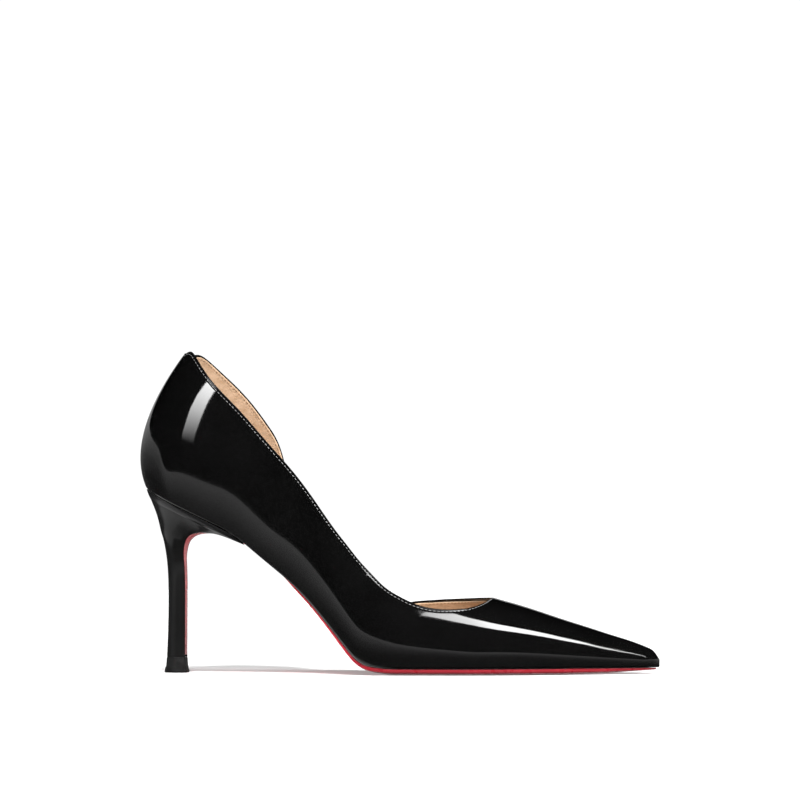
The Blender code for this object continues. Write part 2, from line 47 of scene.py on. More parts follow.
QUARTER_HEIGHT = 0.062    # heel seat to the top of the back seam
THROAT_HEIGHT = 0.0316    # turned edge to the throat over the toes
WALL = 0.0016             # leather, backing and lining together
INSOLE_THICKNESS = 0.0022
SOLE_THICKNESS = 0.0028   # under the ball of the foot
FLAP_THICKNESS = 0.0008   # sole along the waist and down the heel
GAP = 0.0003              # glue line between neighbouring pieces
TURN_UNDER = 0.0075       # width of the upper's edge under the foot
CUT_RIM = 0.0022          # wall left standing along the inner waist
EDGE_LIFT = 0.0009        # how far the underside of the sole rises at its edge
WAIST_HOLLOW = 0.0016     # how far the waist is hollowed, so that the sole hides in it
HOLLOW_RUN = 0.0030       # width of the slope into that hollow
TIP_HEIGHT = 0.0070       # top piece of the heel
TIP_FLARE = 0.0012        # how far it spreads on each side

# Tolerances and shares that both models use
FLAP_END_RING = 0.06      # the flap stops just over the top piece
SOLE_EASE = 0.40          # how far the sole's sections crowd towards the toe
HALVINGS = 40
WELD = 0.00002
SLIVER = 0.00001

# Turned edge seen from above, from the back of the heel to the toe.
# along is a share of LENGTH, outer and inner are shares of SOLE_WIDTH from the middle line.
PLAN = (
    # along, outer, inner
    (0.0117, 0.000, 0.000),
    (0.0140, 0.068, 0.068),
    (0.0290, 0.176, 0.175),
    (0.0662, 0.272, 0.271),
    (0.1090, 0.302, 0.302),
    (0.1900, 0.294, 0.286),
    (0.2700, 0.283, 0.252),
    (0.3500, 0.332, 0.272),
    (0.4300, 0.428, 0.364),
    (0.5150, 0.489, 0.460),
    (0.6000, 0.491, 0.497),
    (0.6800, 0.456, 0.476),
    (0.7600, 0.378, 0.412),
    (0.8400, 0.269, 0.323),
    (0.9200, 0.141, 0.213),
    (0.9660, 0.059, 0.145),
    (0.9900, 0.003, 0.099),
    (1.0000, -0.051, 0.051),
)

# Height of the turned edge: climb is the share of the way from the ball up to HEEL_RISE,
# ball is a share of the height at the ball.
SEAT = (
    # along, climb, ball
    (0.0117, 1.000, 1.00),
    (0.0454, 0.943, 1.00),
    (0.0958, 0.870, 1.00),
    (0.1396, 0.810, 1.00),
    (0.1971, 0.715, 1.00),
    (0.2292, 0.638, 1.00),
    (0.2750, 0.528, 1.00),
    (0.3171, 0.423, 1.00),
    (0.3638, 0.2770, 1.00),
    (0.4108, 0.1110, 1.00),
    (0.4342, 0.0400, 1.00),
    (0.4600, 0.0110, 1.00),
    (0.4900, 0.0015, 1.00),
    (0.5300, 0.000, 1.00),
    (0.8200, 0.000, 1.00),
    (0.9200, 0.000, 0.98),
    (1.0000, 0.000, 0.93),
)

# The wall's ribs: each row gives the handles of the rib that rises from one place of the
# turned edge. lean is a handle's distance forward of the edge as a share of LENGTH, spread its
# distance from the middle as a share of the edge's own, low_up its share of the rib's height.
RIBS = (
    # along, low_lean, low_spread, low_up, high_lean, high_spread, crown_lean
    (0.0117, -0.0386, 1.205, 0.285, 0.0175, 1.094, 0.1000),
    (0.1060, 0.0083, 1.205, 0.298, 0.0380, 1.094, 0.0820),
    (0.1880, 0.0080, 1.200, 0.300, 0.0375, 1.100, 0.0667),
    (0.2710, 0.0060, 1.190, 0.300, 0.0250, 1.090, 0.0417),
    (0.3540, 0.0030, 1.190, 0.300, 0.0125, 1.040, 0.0208),
    (0.4380, 0.0008, 1.200, 0.320, 0.0025, 0.950, 0.0042),
    (0.5210, 0.0000, 1.215, 0.360, 0.0000, 0.870, 0.0000),
    (0.6250, 0.0000, 1.215, 0.430, 0.0000, 0.800, 0.0000),
    (0.7500, 0.0000, 1.205, 0.480, 0.0000, 0.740, 0.0000),
    (0.8750, 0.0000, 1.200, 0.520, 0.0000, 0.680, 0.0000),
    (1.0000, 0.0000, 1.200, 0.600, 0.0000, 0.620, 0.0000),
)
ARCH_FROM, ARCH_TO = 0.62, 0.24       # ribs meet over the foot in front, stand apart behind
CROWN_APART = 0.79                    # how far apart they stand, a share of the edge's width
BEHIND_FROM, BEHIND_TO = 0.56, 0.14   # where the upper handle sinks towards the quarters
HIGH_UP_BEHIND = 0.665                # its height there

# Height of the ribs above the turned edge: the ridge of the vamp in front of the throat,
# and behind it what they head for. quarter is a share of QUARTER_HEIGHT, throat of THROAT_HEIGHT.
CROWN = (
    # along, quarter, throat
    (0.0117, 1.137, 0.000),
    (0.1060, 1.332, 0.000),
    (0.1880, 1.267, 0.000),
    (0.2710, 1.160, 0.000),
    (0.3540, 1.048, 0.000),
    (0.4380, 0.690, 0.470),
    (0.5210, 0.250, 1.030),
    (0.6000, 0.000, 1.240),
    (0.6840, 0.000, 1.000),
    (0.7230, 0.000, 0.916),
    (0.7690, 0.000, 0.808),
    (0.8150, 0.000, 0.690),
    (0.8610, 0.000, 0.580),
    (0.9080, 0.000, 0.465),
    (0.9540, 0.000, 0.355),
    (0.9770, 0.000, 0.287),
    (0.9900, 0.000, 0.224),
    (1.0000, 0.000, 0.112),
)

# The wall's upper edge above the turned edge straight below, on the outer side.
OUTER_EDGE = (
    # along, quarter, throat
    (0.0904, 1.160, 0.0),
    (0.1030, 1.192, 0.0),
    (0.1163, 1.160, 0.0),
    (0.1373, 1.082, 0.0),
    (0.1604, 1.018, 0.0),
    (0.1896, 0.969, 0.0),
    (0.2208, 0.933, 0.0),
    (0.2517, 0.894, 0.0),
    (0.2979, 0.838, 0.0),
    (0.3404, 0.787, 0.0),
    (0.3870, 0.748, 0.0),
    (0.4342, 0.729, 0.0),
    (0.4575, 0.320, 0.687),
    (0.4808, 0.140, 0.890),
    (0.5038, 0.000, 1.055),
    (0.5488, 0.000, 0.899),
    (0.6150, 0.000, 0.839),
    (0.6579, 0.000, 0.892),
    (0.6742, 0.000, 0.950),
    (0.6840, 0.000, 1.000),
)

# The same on the inner side, behind the cut-out and in front of it.
INNER_QUARTER_EDGE = (
    # along, quarter, throat
    (0.0904, 1.160, 0.0),
    (0.1030, 1.195, 0.0),
    (0.1163, 1.189, 0.0),
    (0.1373, 1.152, 0.0),
    (0.1604, 1.112, 0.0),
    (0.1896, 1.064, 0.0),
    (0.2083, 1.034, 0.0),
    (0.2250, 1.004, 0.0),
    (0.2396, 0.973, 0.0),
    (0.2513, 0.939, 0.0),
    (0.2613, 0.880, 0.0),
    (0.2700, 0.785, 0.0),
    (0.2792, 0.635, 0.0),
    (0.2896, 0.440, 0.0),
    (0.3000, 0.285, 0.0),
    (0.3104, 0.150, 0.0),
    (0.3230, 0.035, 0.0),
)
INNER_VAMP_EDGE = (
    # along, quarter, throat
    (0.4250, 0.0, 0.070),
    (0.4354, 0.0, 0.255),
    (0.4500, 0.0, 0.510),
    (0.4750, 0.0, 0.775),
    (0.5083, 0.0, 0.908),
    (0.5500, 0.0, 0.946),
    (0.5833, 0.0, 0.965),
    (0.6250, 0.0, 0.981),
    (0.6583, 0.0, 0.994),
    (0.6840, 0.0, 1.000),
)

# Where the waist is hollowed underneath, as shares of LENGTH.
HOLLOW_BACK, HOLLOW_FRONT, HOLLOW_FADE = 0.130, 0.330, 0.060

# The upper's margin under the foot and the insole over it
FOREPART = 0.5            # in front of this share of LENGTH the margin narrows with the toe
TOE_MARGIN = 0.42         # share of the half width that it covers there
MARGIN_SLOPE = 0.4        # share of the margin that can slope into the hollow
INSOLE_INSET = 1.25 * (WALL + GAP)
INSOLE_END = 0.955        # share of LENGTH where the insole ends

# The sole in front of the heel: thick is a share of SOLE_THICKNESS.
SOLE_SECTIONS = (
    # along, thick, inset from the turned edge
    (0.2200, 0.2860, 0.0038),
    (0.2750, 0.3100, 0.0036),
    (0.3150, 0.3700, 0.0026),
    (0.3700, 0.4700, 0.0014),
    (0.4200, 0.6300, 0.0009),
    (0.4600, 0.8700, 0.0006),
    (0.4950, 1.0000, 0.0005),
    (0.8200, 1.0000, 0.0005),
    (0.9000, 0.7800, 0.0008),
    (1.0000, 0.2400, 0.0016),
)
FLAT_SHARE = 0.72         # share of the half width that is flat underneath

# The heel, ring by ring up to the seat. back and front are shares of LENGTH, their heights
# shares of HEEL_RISE, half a share of SOLE_WIDTH, round the share of the depth that is rounded.
HEEL_RINGS = (
    # back, back_up, front, front_up, half, round
    (0.0521, 0.0900, 0.0892, 0.0900, 0.0550, 0.58),
    (0.0542, 0.2810, 0.0892, 0.2810, 0.0550, 0.58),
    (0.0542, 0.4740, 0.0890, 0.4740, 0.0560, 0.58),
    (0.0521, 0.5840, 0.0877, 0.5820, 0.0610, 0.58),
    (0.0496, 0.6420, 0.0868, 0.6320, 0.0730, 0.58),
    (0.0450, 0.7130, 0.0892, 0.6900, 0.0970, 0.57),
    (0.0396, 0.7660, 0.0963, 0.7290, 0.1300, 0.56),
    (0.0350, 0.8210, 0.1138, 0.7520, 0.1700, 0.55),
    (0.0283, 0.8810, 0.1471, 0.7500, 0.2180, 0.53),
    (0.0200, 0.9390, 0.1775, 0.7275, 0.2580, 0.51),
)
WING_FRONT = 0.2120       # tips of the heel's wings under the waist, a share of LENGTH
SEAT_BACK = 0.0133
SEAT_HALF = 0.2870
SEAT_ROUND = 0.49
SEAT_INSET = 0.0004       # heel inside the turned edge
WING_INNER = 0.84         # inner side of a wing, a share of the half width
WING_SIDE = (             # outline of one side in front of the round back
    # share of half width, share of depth from the front
    (0.970, 0.000),
    (1.000, 0.060),
    (1.000, 0.190),
    (1.000, 0.320),
)

# The top piece from its top down, as shares of TIP_HEIGHT and TIP_FLARE
TIP_ROWS = (
    # height, spread
    (1.000, 0.080),
    (0.500, 0.350),
    (0.086, 1.000),
    (0.000, 0.800),
)


def spline(xs, ys, flat=(False, False)):
    """A smooth curve through points, level at the ends that flat names."""
    xs, ys = np.array(xs, float), np.array(ys, float)
    last, step = len(xs) - 1, np.diff(xs)
    slope = np.diff(ys) / step
    matrix, right = np.zeros((last + 1, last + 1)), np.zeros(last + 1)
    for i in range(1, last):
        matrix[i, i - 1], matrix[i, i + 1] = step[i], step[i - 1]
        matrix[i, i] = 2 * (step[i - 1] + step[i])
        right[i] = 3 * (slope[i - 1] * step[i] + slope[i] * step[i - 1])
    for end, near, span, level in ((0, 1, 0, flat[0]), (last, last - 1, last - 1, flat[1])):
        matrix[end, end] = 1 if level else 2
        matrix[end, near] = 0 if level else 1
        right[end] = 0 if level else 3 * slope[span]
    tangents = np.linalg.solve(matrix, right)

    def value(x):
        i = int(np.clip(np.searchsorted(xs, x) - 1, 0, last - 1))
        t = min(max((x - xs[i]) / step[i], 0.0), 1.0)
        before = (1 + 2 * t) * ys[i] + t * step[i] * tangents[i]
        after = (3 - 2 * t) * ys[i + 1] - (1 - t) * step[i] * tangents[i + 1]
        return float((1 - t) ** 2 * before + t * t * after)

    return value


def column(table, index, flat=(False, False)):
    """One column of a table as a smooth curve over its first column."""
    return spline([row[0] for row in table], [row[index] for row in table], flat)


def straight(table, index):
    """One column of a table with straight runs between its rows."""
    xs, ys = [row[0] for row in table], [row[index] for row in table]
    return lambda x: float(np.interp(x, xs, ys))


def heights(table):
    """A table's quarter and throat shares as one smooth curve of real heights."""
    rises = [row[1] * QUARTER_HEIGHT + row[2] * THROAT_HEIGHT for row in table]
    return spline([row[0] for row in table], rises)


def soft_step(x):
    """From 0 to 1 with soft ends."""
    x = min(max(x, 0.0), 1.0)
    return x ** 3 * (10 - 15 * x + 6 * x * x)


def run_of_plan():
    """Distance along the turned edge to each row of PLAN, as a share of the whole."""
    run = [0.0]
    for last, row in zip(PLAN, PLAN[1:]):
        forward = (row[0] - last[0]) * LENGTH
        outward = (row[1] + row[2] - last[1] - last[2]) / 2 * SOLE_WIDTH
        run.append(run[-1] + math.hypot(forward, outward))
    return [value / run[-1] for value in run]


OUTER, INNER = -1, 1
RUN = run_of_plan()
PLAN_ALONG = spline(RUN, [row[0] for row in PLAN], (True, True))
PLAN_SIDE = {
    OUTER: spline(RUN, [row[1] * SOLE_WIDTH for row in PLAN]),
    INNER: spline(RUN, [row[2] * SOLE_WIDTH for row in PLAN]),
}
CLIMB_ROWS = [row for row in SEAT if row[1] > 0] + [row for row in SEAT if row[1] == 0][:1]
CLIMB = column(CLIMB_ROWS, 1, (False, True))
BALL_SHARE = column([row for row in SEAT if row[1] == 0][1:], 2, (True, False))
RIB_COLUMNS = [column(RIBS, index) for index in range(1, 7)]
CROWN_UP = heights(CROWN)
OUTER_TOP = heights(OUTER_EDGE)
INNER_QUARTER_TOP = heights(INNER_QUARTER_EDGE)
INNER_VAMP_TOP = heights(INNER_VAMP_EDGE)
THROAT = OUTER_EDGE[-1][0]
TOE_MIDDLE = (PLAN[-1][2] - PLAN[-1][1]) / 2 * SOLE_WIDTH
SWING_FROM = 0.42
BALL_HEIGHT = SOLE_THICKNESS + GAP


def to_x(along):
    return (along - 0.5) * LENGTH


def to_along(x):
    return x / LENGTH + 0.5


def middle(along):
    """The shoe's middle line swings to the inner side at the toe."""
    return TOE_MIDDLE * max(0.0, (along - SWING_FROM) / (1 - SWING_FROM)) ** 2


def seat_height(along):
    """Height of the turned edge over the floor."""
    return CLIMB(along) * (HEEL_RISE - BALL_HEIGHT) + BALL_SHARE(along) * BALL_HEIGHT


def hollow(along):
    """How far the underside is hollowed at the waist."""
    back = soft_step((along - HOLLOW_BACK) / HOLLOW_FADE)
    front = soft_step((HOLLOW_FRONT - along) / HOLLOW_FADE)
    return WAIST_HOLLOW * back * front


def seat_normal(along):
    """Unit vector square to the seat, in x and z, pointing up into the shoe."""
    step = 0.002
    rise = (seat_height(along + step) - seat_height(along - step)) / (2 * step * LENGTH)
    return np.array((-rise, 1.0)) / math.hypot(rise, 1.0)


def run_at(along):
    """Share of the plan's run at one share of the length, found by halving."""
    low, high = 0.0, 1.0
    for _ in range(HALVINGS):
        half = (low + high) / 2
        if PLAN_ALONG(half) < along:
            low = half
        else:
            high = half
    return (low + high) / 2


def edge_point(side, run):
    """A point of the turned edge."""
    along = PLAN_ALONG(run)
    return np.array((to_x(along), side * PLAN_SIDE[side](run), seat_height(along)))


def inward(side, run):
    """Unit vector in plan, from the turned edge to the inside."""
    if run <= 0 or run >= 1:
        return np.array((1.0 if run <= 0 else -1.0, 0.0))
    step = 0.003
    ahead = edge_point(side, min(run + step, 1.0)) - edge_point(side, max(run - step, 0.0))
    return side * np.array((ahead[1], -ahead[0])) / math.hypot(ahead[0], ahead[1])


def inset_point(side, run, distance, lift):
    """A point inside the turned edge, lifted square to the seat."""
    spot = edge_point(side, run)[:2] + inward(side, run) * distance
    along = to_along(spot[0])
    level = seat_height(along) + hollow(along) * min(1.0, distance / HOLLOW_RUN)
    normal = seat_normal(along)
    return np.array((spot[0] + normal[0] * lift, spot[1], level + normal[1] * lift))


def rib(side, run):
    """The four handles of the rib that rises from one point of the turned edge."""
    foot = edge_point(side, run)
    along = to_along(foot[0])
    low_lean, low_spread, low_up, high_lean, high_spread, crown_lean = (
        value(along) for value in RIB_COLUMNS)
    height = CROWN_UP(along)
    apart = CROWN_APART * soft_step((ARCH_FROM - along) / (ARCH_FROM - ARCH_TO))
    behind = soft_step((BEHIND_FROM - along) / (BEHIND_FROM - BEHIND_TO))
    high_up = 1 - (1 - HIGH_UP_BEHIND) * behind
    centre = middle(along)

    def handle(lean, spread, up):
        out = centre + (foot[1] - centre) * spread
        return np.array((foot[0] + lean * LENGTH, out, foot[2] + up * height))

    low = handle(low_lean, low_spread, low_up)
    high = handle(high_lean, high_spread, high_up)
    return foot, low, high, handle(crown_lean, apart, 1.0)


def on_rib(handles, t):
    foot, low, high, crown = handles
    rise = foot * (1 - t) ** 3 + low * 3 * t * (1 - t) ** 2
    return rise + high * 3 * t * t * (1 - t) + crown * t ** 3


def top_height(side, along):
    """Height of the wall's upper edge over the floor."""
    rise = CUT_RIM
    if side == OUTER:
        rise = OUTER_TOP(along)
    elif along <= INNER_QUARTER_EDGE[-1][0]:
        rise = max(rise, INNER_QUARTER_TOP(along))
    elif along >= INNER_VAMP_EDGE[0][0]:
        rise = max(rise, INNER_VAMP_TOP(along))
    return seat_height(along) + rise


def sole_section(run, thick, inset):
    """One section of the sole: flat underneath, with its edges lifted."""
    outer, inner = (inset_point(side, run, inset, -GAP) for side in (OUTER, INNER))
    along = to_along(outer[0])
    normal = seat_normal(along)
    down = np.array((-normal[0], 0.0, -normal[1]))
    lift = EDGE_LIFT * min(1.0, thick / SOLE_THICKNESS)
    centre = (outer + inner) / 2
    ring = [outer, outer + down * (thick - lift), centre + (outer - centre) * FLAT_SHARE,
            centre + (inner - centre) * FLAT_SHARE, inner + down * (thick - lift), inner]
    ring[2] = ring[2] + down * thick
    ring[3] = ring[3] + down * thick
    return ring


def heel_lines():
    """The heel's columns as smooth curves over the ring number, the seat last."""
    seat_rise = [seat_height(share) - GAP for share in (SEAT_BACK, WING_FRONT)]
    rows = [[to_x(r[0]), r[1] * HEEL_RISE, to_x(r[2]), r[3] * HEEL_RISE,
             r[4] * SOLE_WIDTH, r[5]] for r in HEEL_RINGS]
    rows[0][1] = rows[0][3] = TIP_HEIGHT + GAP
    rows.append([to_x(SEAT_BACK), seat_rise[0], to_x(WING_FRONT), seat_rise[1],
                 SEAT_HALF * SOLE_WIDTH, SEAT_ROUND])
    return [spline(range(len(rows)), values) for values in zip(*rows)]


HEEL_LINES = heel_lines()
SEAT_RING = len(HEEL_RINGS)


def front_normal(ring):
    """Unit vector in x and z, square to the heel's front line, into the heel."""
    step = 0.05
    low, high = max(ring - step, 0.0), min(ring + step, SEAT_RING)
    ahead = HEEL_LINES[2](high) - HEEL_LINES[2](low)
    rise = HEEL_LINES[3](high) - HEEL_LINES[3](low)
    return np.array((-rise, ahead)) / math.hypot(ahead, rise)


def recess_half(ring):
    return HEEL_LINES[4](ring) * WING_INNER


def front_point(ring, side, half, depth):
    """A point on or behind the heel's front line."""
    normal = front_normal(ring)
    x = HEEL_LINES[2](ring) + normal[0] * depth
    return np.array((x, side * half, HEEL_LINES[3](ring) + normal[1] * depth))


def heel_ring(ring):
    """One ring: the recess for the flap, the two wings, the sides and the round back."""
    back_x, back_z, front_x, front_z, half, rounded = (line(ring) for line in HEEL_LINES)
    into_seat = min(max(ring - (SEAT_RING - 1), 0.0), 1.0)
    outline = [(WING_INNER, 0.0)] + list(WING_SIDE)
    for i in range(BACK_POINTS + 1):
        angle = math.pi / 2 * i / BACK_POINTS
        outline.append((math.cos(angle), 1 - rounded + rounded * math.sin(angle)))
    points = {OUTER: [], INNER: []}
    for side in (OUTER, INNER):
        depth = FLAP_THICKNESS + GAP
        points[side].append(front_point(ring, side, recess_half(ring), depth))
        for across, deep in outline:
            x = front_x + (back_x - front_x) * deep
            z = front_z + (back_z - front_z) * deep
            own = half * across
            edge = PLAN_SIDE[side](run_at(to_along(x))) - SEAT_INSET
            flush = edge * across if deep <= 1 - rounded else edge
            if deep >= 1:
                flush = 0.0
            y = own + (flush - own) * into_seat
            points[side].append(np.array((x, side * max(y, 0.0), z)))
    if ring >= SEAT_RING:
        for side in (OUTER, INNER):
            for point in points[side][1:]:
                point[2] = seat_height(to_along(point[0])) - GAP
            cross = points[side][len(WING_SIDE)]
            points[side][0] = np.array((cross[0], points[side][0][1], cross[2]))
    return points[OUTER] + points[INNER][-2::-1]


# Mesh density of the visual model
RUNS = 250                 # columns along each side
RUN_EASE = 0.5             # how far they crowd towards both ends
RIB_SAMPLES = 90           # points along a rib that its length is measured by
BODY_ROWS = 30             # rows up the wall below the topline
NEAR_TOP = (0.0034, 0.0027, 0.0022, 0.0018, 0.0015, 0.0012, 0.0009, 0.0006, 0.0003, 0.0)
NEAR_SHARE = 0.5           # the rows near the top take at most this share of a low wall
TOP_HALVINGS = 26
CORNER = 0.0012            # radius of the leather's turn round the feather edge
CORNER_SHARE = 0.8         # its share at most of the margin up to the waist's hollow
CORNER_POINTS = 5
RIM_POINTS = 6
BACK_POINTS = 20           # points round each side of the heel's back
HEEL_STEPS = 12            # rings of the heel cover for each row of the heel
FLAP_STEPS = 8
SOLE_RINGS = 130
SOCK_RINGS = 150
SOCK_ACROSS = 15
FAR = 9.0                  # marks places away from the seam
SEAM_FADE = 0.012          # share of LENGTH over which the seam's trough ends at the throat
STEP = 0.0005              # step along a curve where its direction is taken
TINY = 1e-9

# Leather and thread
SKIN = 0.0008              # patent leather and backing
LINING_GAP = 0.00004
LINING = WALL - SKIN - LINING_GAP
LINING_DROP = 0.0007       # lining's edge below the folded patent edge
SKIN_BULGE = SKIN * 0.55   # how round the folded edge stands out
LINING_BULGE = LINING * 0.5
PLAIN_BULGE = 0.0002       # the same at the edge under the foot
STITCH_DOWN = 0.0011       # seam below the topline
STITCH_PITCH = 0.0019
STITCH_LENGTH = 0.0012
STITCH_WIDTH = 0.00028
STITCH_HEIGHT = 0.00024
LINING_STITCH_HEIGHT = 0.0003
STITCH_SUNK = 0.00006      # middle of a stitch under the patent's outer face
STITCH_ROOM = 0.0004       # half the width over which the wall's face is taken at the seam
STITCH_RINGS, STITCH_SIDES = 5, 8
STITCH_SWELL = 0.6         # lower is blunter at the ends
STITCH_DEPTH = 0.00010     # trough the thread lies in
TROUGH_REACH = 0.0004
FOLD_REACH = 0.0013        # the folded edge is duller down to here
EXACT_FROM, EXACT_FADE = 0.0022, 0.001   # below the topline, where the true normals set in
SOCK_EDGE = 0.0005
SOLE_EDGE = 0.00018
TIP_EDGE = 0.0003
TIP_RISE = GAP * 0.9       # rubber closing the glue line under the heel


def visual_runs():
    """Columns' places on the plan's run, closer at both ends."""
    shares = np.linspace(0.0, 1.0, RUNS)
    eased = (1 - np.cos(np.pi * shares)) / 2
    runs = shares + (eased - shares) * RUN_EASE
    runs[np.argmin(abs(runs - run_at(THROAT)))] = run_at(THROAT)
    return runs


def rib_end(side, handles, drop):
    """Rib parameter at the topline lowered by drop."""
    low, high = 0.0, 1.0
    for _ in range(TOP_HALVINGS):
        half = (low + high) / 2
        point = on_rib(handles, half)
        along = to_along(point[0])
        if along >= THROAT or point[2] < top_height(side, along) - drop:
            low = half
        else:
            high = half
    return high


def wall_profile(side, run, drop, skip=0.0):
    """Points up one rib above skip with their distances below the topline, crowding there."""
    handles = rib(side, run)
    ts = np.linspace(0.0, rib_end(side, handles, drop), RIB_SAMPLES)
    line = np.array([on_rib(handles, t) for t in ts])
    arc = np.concatenate([[0.0], np.cumsum(np.linalg.norm(np.diff(line, axis=0), axis=1))])
    total = arc[-1]
    near = np.array(NEAR_TOP) * min(1.0, NEAR_SHARE * (total - skip) / NEAR_TOP[0])
    share = 1 - np.arange(BODY_ROWS) / BODY_ROWS
    below = np.concatenate([near[0] + (total - skip - near[0]) * share, near])
    where = np.interp(total - below, arc, ts)
    return np.array([on_rib(handles, t) for t in where]), below, where


def wall_normals(side, run, where):
    """Outward unit normals of the wall at rib parameters where, from its own curves."""
    ahead, behind = rib(side, min(run + STEP, 1.0)), rib(side, max(run - STEP, 0.0))
    handles, normals = rib(side, run), []
    for t in where:
        along = on_rib(ahead, t) - on_rib(behind, t)
        up = on_rib(handles, min(t + STEP, 1.0)) - on_rib(handles, max(t - STEP, 0.0))
        normal = np.cross(along, up) * -side
        normals.append(normal / max(np.linalg.norm(normal), TINY ** 2))
    return normals


def wall_column(side, run, drop):
    """One column: margin under the foot, rounded feather edge, wall."""
    along = PLAN_ALONG(run)
    half = abs(edge_point(side, run)[1] - middle(along))
    reach = TURN_UNDER if along < FOREPART else min(TURN_UNDER, WALL + TOE_MARGIN * half)
    slope_end = min(HOLLOW_RUN, MARGIN_SLOPE * reach)
    wall, below, where = wall_profile(side, run, drop, CORNER)
    foot = edge_point(side, run)
    start, finish = inset_point(side, run, min(CORNER, slope_end * CORNER_SHARE), 0.0), wall[0]
    points = [inset_point(side, run, distance, 0.0)
              for distance in (reach, (reach + slope_end) / 2, slope_end)]
    for i in range(CORNER_POINTS):
        t = i / CORNER_POINTS
        points.append(start * (1 - t) ** 2 + foot * 2 * t * (1 - t) + finish * t * t)
    fade = soft_step((along - THROAT) / SEAM_FADE + 0.5)
    depth = [FAR] * len(points) + list(below + FAR * fade)
    exact = 0 < run < 1
    normals = [np.zeros(3)] * len(points)
    normals += wall_normals(side, run, where) if exact else [np.zeros(3)] * len(wall)
    return np.array(points + list(wall)), np.array(depth), np.array(normals)


def wall_grid(drop):
    """Columns from the toe along the outer side, round the back, along the inner side."""
    runs = visual_runs()
    places = [(OUTER, r) for r in runs[::-1]] + [(INNER, r) for r in runs[1:]]
    made = [wall_column(side, run, drop) for side, run in places]
    along = [PLAN_ALONG(run) for _, run in places]
    return [np.array([m[k] for m in made]) for k in range(3)] + [np.array(along)]


def welded(points, depth, normals, along):
    """One open sheet; both sides share the back seam, the toe and the ridge of the vamp."""
    columns, rows = points.shape[:2]
    bm = bmesh.new()
    deep = bm.verts.layers.float.new("deep")
    top = bm.verts.layers.int.new("top")
    true = bm.verts.layers.float_vector.new("true")
    verts = [[bm.verts.new(p) for p in col] for col in points]
    for i in range(columns):
        for j in range(rows):
            verts[i][j][deep] = depth[i, j]
            verts[i][j][true] = normals[i, j]
        verts[i][rows - 1][top] = 1 if along[i] <= THROAT + 1e-6 else 0
    for i in range(columns - 1):
        for j in range(rows - 1):
            bm.faces.new((verts[i][j], verts[i][j + 1], verts[i + 1][j + 1], verts[i + 1][j]))
    bmesh.ops.remove_doubles(bm, verts=bm.verts, dist=SLIVER)
    bmesh.ops.dissolve_degenerate(bm, edges=bm.edges, dist=SLIVER / 2)
    bm.normal_update()
    return bm, deep, top, true


def rim_ends(edge):
    """The two vertices of an open edge, in the order of the face beside it."""
    loop = edge.link_loops[0]
    return loop.vert.index, loop.link_loop_next.vert.index


def rim_directions(rim, spots, normals):
    """Which way the sheet ends at each vertex of its rim."""
    lean = np.zeros_like(spots)
    for a, b in rim:
        out = np.cross(spots[b] - spots[a], normals[a] + normals[b])
        size = np.linalg.norm(out)
        if size > 0:
            lean[a] += out / size
            lean[b] += out / size
    return lean / np.maximum(np.linalg.norm(lean, axis=1), TINY)[:, None]


def shade_exactly(mesh, exact, below):
    """Give the outer face the wall's true normals, except close to the topline."""
    shaded = np.array([v.normal for v in mesh.vertices])
    own = shaded[:len(exact)]
    clear = np.clip((below - EXACT_FROM) / EXACT_FADE, 0, 1) * (np.linalg.norm(exact, axis=1) > 0.5)
    clear *= np.sum(exact * own, axis=1) > 0.8
    own += (exact - own) * clear[:, None]
    mesh.normals_split_custom_set_from_vertices(shaded.tolist())


def shell(name, drop, outer, inner, trough, bulge):
    """A closed skin between two depths inside the wall's outer face, with a rolled topline."""
    bm, deep, top, true = welded(*wall_grid(drop))
    bm.verts.index_update()
    spots = np.array([v.co for v in bm.verts])
    normals = np.array([v.normal for v in bm.verts])
    below = np.array([v[deep] for v in bm.verts])
    exact = np.array([v[true] for v in bm.verts])
    is_top = [v[top] for v in bm.verts]
    sheet = [[v.index for v in f.verts] for f in bm.faces]
    rim = [rim_ends(e) for e in bm.edges if e.is_boundary]
    bm.free()
    count = len(spots)
    groove = np.exp(-((below - STITCH_DOWN + drop) / TROUGH_REACH) ** 2)
    outside = spots - normals * (outer + trough * groove)[:, None]
    inside = spots - normals * inner
    lean = rim_directions(rim, spots, normals)
    faces = sheet + [[i + count for i in face[::-1]] for face in sheet]
    chains, roll = {}, []
    for v in sorted({v for ends in rim for v in ends}):
        half = (outside[v] - inside[v]) / 2
        centre = (outside[v] + inside[v]) / 2
        reach = bulge if is_top[v] else PLAIN_BULGE
        first = 2 * count + len(roll)
        for k in range(1, RIM_POINTS):
            angle = math.pi * k / RIM_POINTS
            roll.append(centre + half * math.cos(angle) + lean[v] * reach * math.sin(angle))
        chains[v] = [v, *range(first, first + RIM_POINTS - 1), v + count]
    for a, b in rim:
        for k in range(RIM_POINTS):
            faces.append([chains[b][k], chains[a][k], chains[a][k + 1], chains[b][k + 1]])
    mesh = bpy.data.meshes.new(name)
    mesh.from_pydata(np.vstack([outside, inside, np.array(roll)]).tolist(), [], faces)
    mesh.shade_smooth()
    shade_exactly(mesh, exact, below)
    fold = np.exp(-(below / FOLD_REACH) ** 4)
    dull = mesh.attributes.new("fold", "FLOAT", "POINT")
    dull.data.foreach_set("value", np.concatenate([fold, fold, np.ones(len(roll))]))
    return add(name, mesh)


def add(name, mesh):
    thing = bpy.data.objects.new(name, mesh)
    bpy.context.scene.collection.objects.link(thing)
    return thing


def from_bmesh(name, bm, smooth_angle=None):
    bmesh.ops.recalc_face_normals(bm, faces=bm.faces)
    mesh = bpy.data.meshes.new(name)
    bm.to_mesh(mesh)
    bm.free()
    mesh.shade_smooth()
    if smooth_angle is not None:
        mesh.set_sharp_from_angle(angle=math.radians(smooth_angle))
    return add(name, mesh)


